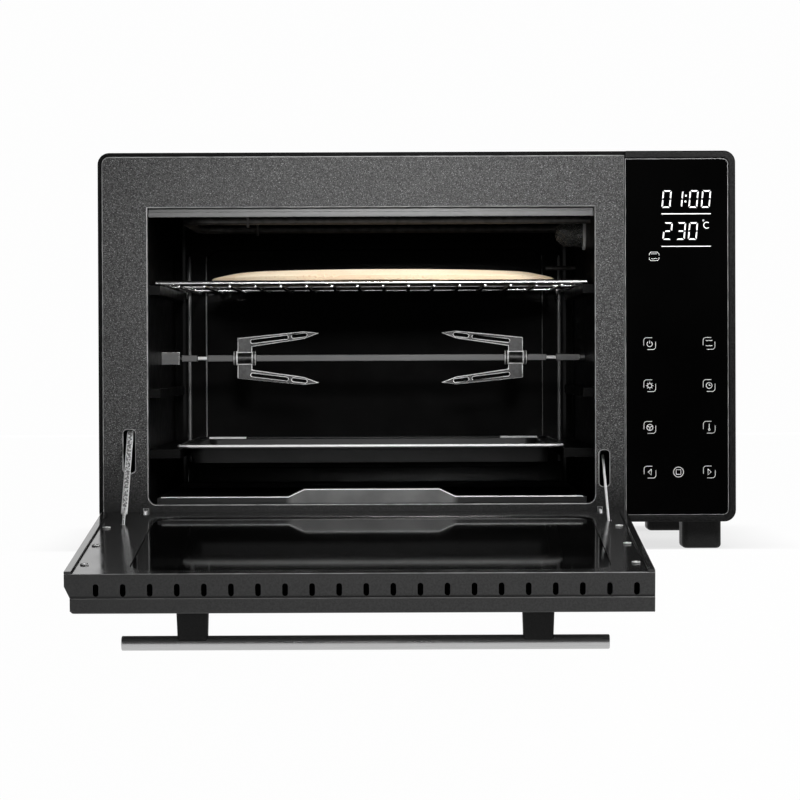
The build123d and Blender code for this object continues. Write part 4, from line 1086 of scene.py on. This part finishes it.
power_row, lamp_row, fan_row, go_row = ROWS
power = [arc(LEFT_X, power_row - POWER_DROP, *POWER_RING)]
power += [on_glass(LEFT_X, power_row, POWER_STROKE)]
heat = [on_glass(RIGHT_X, power_row + up, HEAT_WAVE) for up in HEAT_WAVE_UPS]
lamp_sign = [arc(LEFT_X, lamp_row, LAMP_R)] + spokes(LEFT_X, lamp_row, *LAMP_RAYS)
clock = [arc(RIGHT_X, lamp_row, CLOCK_R), on_glass(RIGHT_X, lamp_row, CLOCK_HANDS)]
fan_sign = [arc(LEFT_X, fan_row, FAN_R)] + spokes(LEFT_X, fan_row, *FAN_BLADES)
heat_level = [on_glass(RIGHT_X, fan_row, LEVEL_STEM)]
heat_level += [arc(RIGHT_X, fan_row - LEVEL_DROP, LEVEL_BULB_R)]
less = [on_glass(LEFT_X, go_row, ARROW)]
more = [on_glass(RIGHT_X, go_row, [(-right, up) for right, up in ARROW])]
go = [arc(MIDDLE_X, go_row, GO_R), on_glass(MIDDLE_X, go_row, GO_SQUARE)]
signs = power + heat + lamp_sign + clock + fan_sign + heat_level + less + more + go
brackets = []
for mark_x in (LEFT_X, RIGHT_X):
    for mark_z in ROWS:
        brackets += bracket(mark_x, mark_z)
touch_marks = joined(
    *strokes(signs, SIGN_LINE, print_white),
    *strokes(brackets, BRACKET_LINE, print_white),
)
touch_marks.name = "touch_marks"
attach(touch_marks, "oven")


# Door: a glossy inner pan and a folded outer frame in dull paint, screwed together
# round two tinted panes, with a seal strip along each side. It hangs on pins in two
# tabs. Painted highlights lie on the tabs, on the screw edges, along the front edges of
# the pan and along the top front edge of the outer frame. Painted shade darkens the
# pan's skirt along the seam between them.
SEAM_DARK = 0.9
SEAM_CLEAR = 2.1
PAN_EASE = 0.8
PAN_STEPS = 3
PAN_FRONT_DEPTH = 0.1
PAN_SKIRT_DEPTH = 4.1
PAN_FOOT_HIGH = 1.2
SIDE_EASE = 2.8
SIDE_STEPS = 4
LINE_EASE = 0.8
LINE_STEPS = 3
SLOPING = 0.3

pan_gloss = surface("pan_gloss", roughness=0.1)
coloured(pan_gloss, mottled(pan_gloss, scale=500), grey(0.016), grey(0.026))
roughened(pan_gloss, mottled(pan_gloss, scale=40), low=0.10, high=0.15)
door_paint = surface("door_paint", roughness=0.5, specular=0.35)
door_grain = mottled(door_paint, scale=700)
coloured(door_paint, door_grain, grey(0.038), grey(0.055))
bumped(door_paint, door_grain, height=0.03)
pan_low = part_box("door_inner_pan")[0] / MM
skirt_paint = surface("skirt_paint", roughness=0.5, specular=0.35)
skirt_grain = mottled(skirt_paint, scale=700)
skirt_tone = blended(skirt_paint, skirt_grain, grey(0.038), grey(0.055))
# Painted shade: the skirt darkens to near black along its lower edge, at the seam to the
# outer frame.
seam_shade_fade = graded(skirt_paint, "Z", pan_low.z + SEAM_DARK, pan_low.z + SEAM_CLEAR)
coloured(skirt_paint, seam_shade_fade, grey(0.004), skirt_tone)
bumped(skirt_paint, skirt_grain, height=0.03)
tinted_glass = surface("tinted_glass", roughness=0.06, specular=0.10)
shader_socket(tinted_glass, "Transmission Weight").default_value = 0.04
coloured(tinted_glass, mottled(tinted_glass, scale=10), grey(0.003), grey(0.005))


def near_skirt(face):
    """Whether a face of the pan lies at the free end of the door."""
    return face.center.y < (pan_low.y + PAN_SKIRT_DEPTH) * MM


def on_skirt(face):
    """Whether a face of the pan lies in the front of its skirt."""
    return face.normal.y < -SQUARE_ON and near_skirt(face)


def on_pan_foot(face):
    """Whether a face of the pan lies along the lower edge of its skirt."""
    return face.center.z < (pan_low.z + PAN_FOOT_HIGH) * MM and near_skirt(face)


def upper_front(edge):
    """Whether an edge of the outer frame runs along the top of its free end."""
    ways = [face.normal for face in edge.link_faces]
    return any(way.y < -SQUARE_ON for way in ways) and any(way.z > SQUARE_ON for way in ways)


def lower_left(edge):
    """Whether an edge of the outer frame runs along its lower left side."""
    ways = [face.normal for face in edge.link_faces]
    return any(way.x < -SQUARE_ON for way in ways) and any(way.z < -SLOPING for way in ways)


# The pan's rounded front edges carry the painted highlight.
door_pan = finished(
    "door_inner_pan",
    pan_gloss,
    rounding=0.3,
    ease=(PAN_EASE, PAN_STEPS, front_edges("door_inner_pan", PAN_FRONT_DEPTH)),
    edging=painted_edge_highlight,
)
marked(door_pan, skirt_paint, on_skirt)
# Painted shade: the lower edge of the skirt gets the near-black shell edge paint.
marked(door_pan, shell_edge, on_pan_foot)
finished("door_inner_glass", tinted_glass, rounding=0.4)
outer_frame = finished(
    "door_outer_frame", door_paint, ease=(SIDE_EASE, SIDE_STEPS, lower_left)
)
# Painted highlight along the top front edge of the outer frame, in the pale bead colour.
outer_frame.data.materials.append(painted_line_highlight)
eased(outer_frame, LINE_EASE, LINE_STEPS, upper_front)
finished("door_outer_glass", tinted_glass, rounding=0.4)
finished("door_rails", pan_gloss, rounding=0.3)
finished("door_screws", heater_sheath, rounding=0.5, segments=3, edging=painted_highlight_steel)
finished("hinge_pins", bright_steel, rounding=0.2)
for hand in ("left", "right"):
    finished("hinge_tab_" + hand, painted_highlight_steel, rounding=0.5, segments=3)


# Stay arms: two flat steel links, pinned to lugs of the door, which run through the
# slots of the front frame. The left one is dented along its face, with painted glints
# and dark patches over the dents and a painted highlight on its edges. The right one is
# wholly in the painted highlight colour.
arm_steel = surface("arm_steel", roughness=0.35, metallic=0.5)
# Real dents in relief, with painted reflections: the same field paints the colour from dark
# to near white.
dent_and_glint_mask = mottled(arm_steel, scale=300, low=0.45, high=0.58, stretch=(2.2, 2.2, 1))
coloured(arm_steel, dent_and_glint_mask, grey(0.25), grey(0.95))
bumped(arm_steel, dent_and_glint_mask, height=0.3)
finished("arm_lugs", plain_steel, rounding=0.3)
finished("arm_left", arm_steel, rounding=0.8, segments=3, edging=painted_highlight_steel)
finished("arm_right", painted_highlight_steel, rounding=0.8, segments=3)


# Handle: a brushed steel tube held by two moulded black posts, which screws from inside
# pull to the front of the door.
handle_steel = surface("handle_steel", roughness=0.3, metallic=1.0)
brush = mottled(handle_steel, scale=30, low=0.3, high=0.7, stretch=(1, 90, 90))
coloured(handle_steel, brush, grey(0.42), grey(0.52))
roughened(handle_steel, brush, low=0.25, high=0.36)
for hand in ("left", "right"):
    finished("handle_post_" + hand, black_plastic, rounding=0.5, segments=3)
finished("handle_bar", handle_steel, rounding=0.9, segments=4)
finished("handle_screws", plain_steel, rounding=0.15)
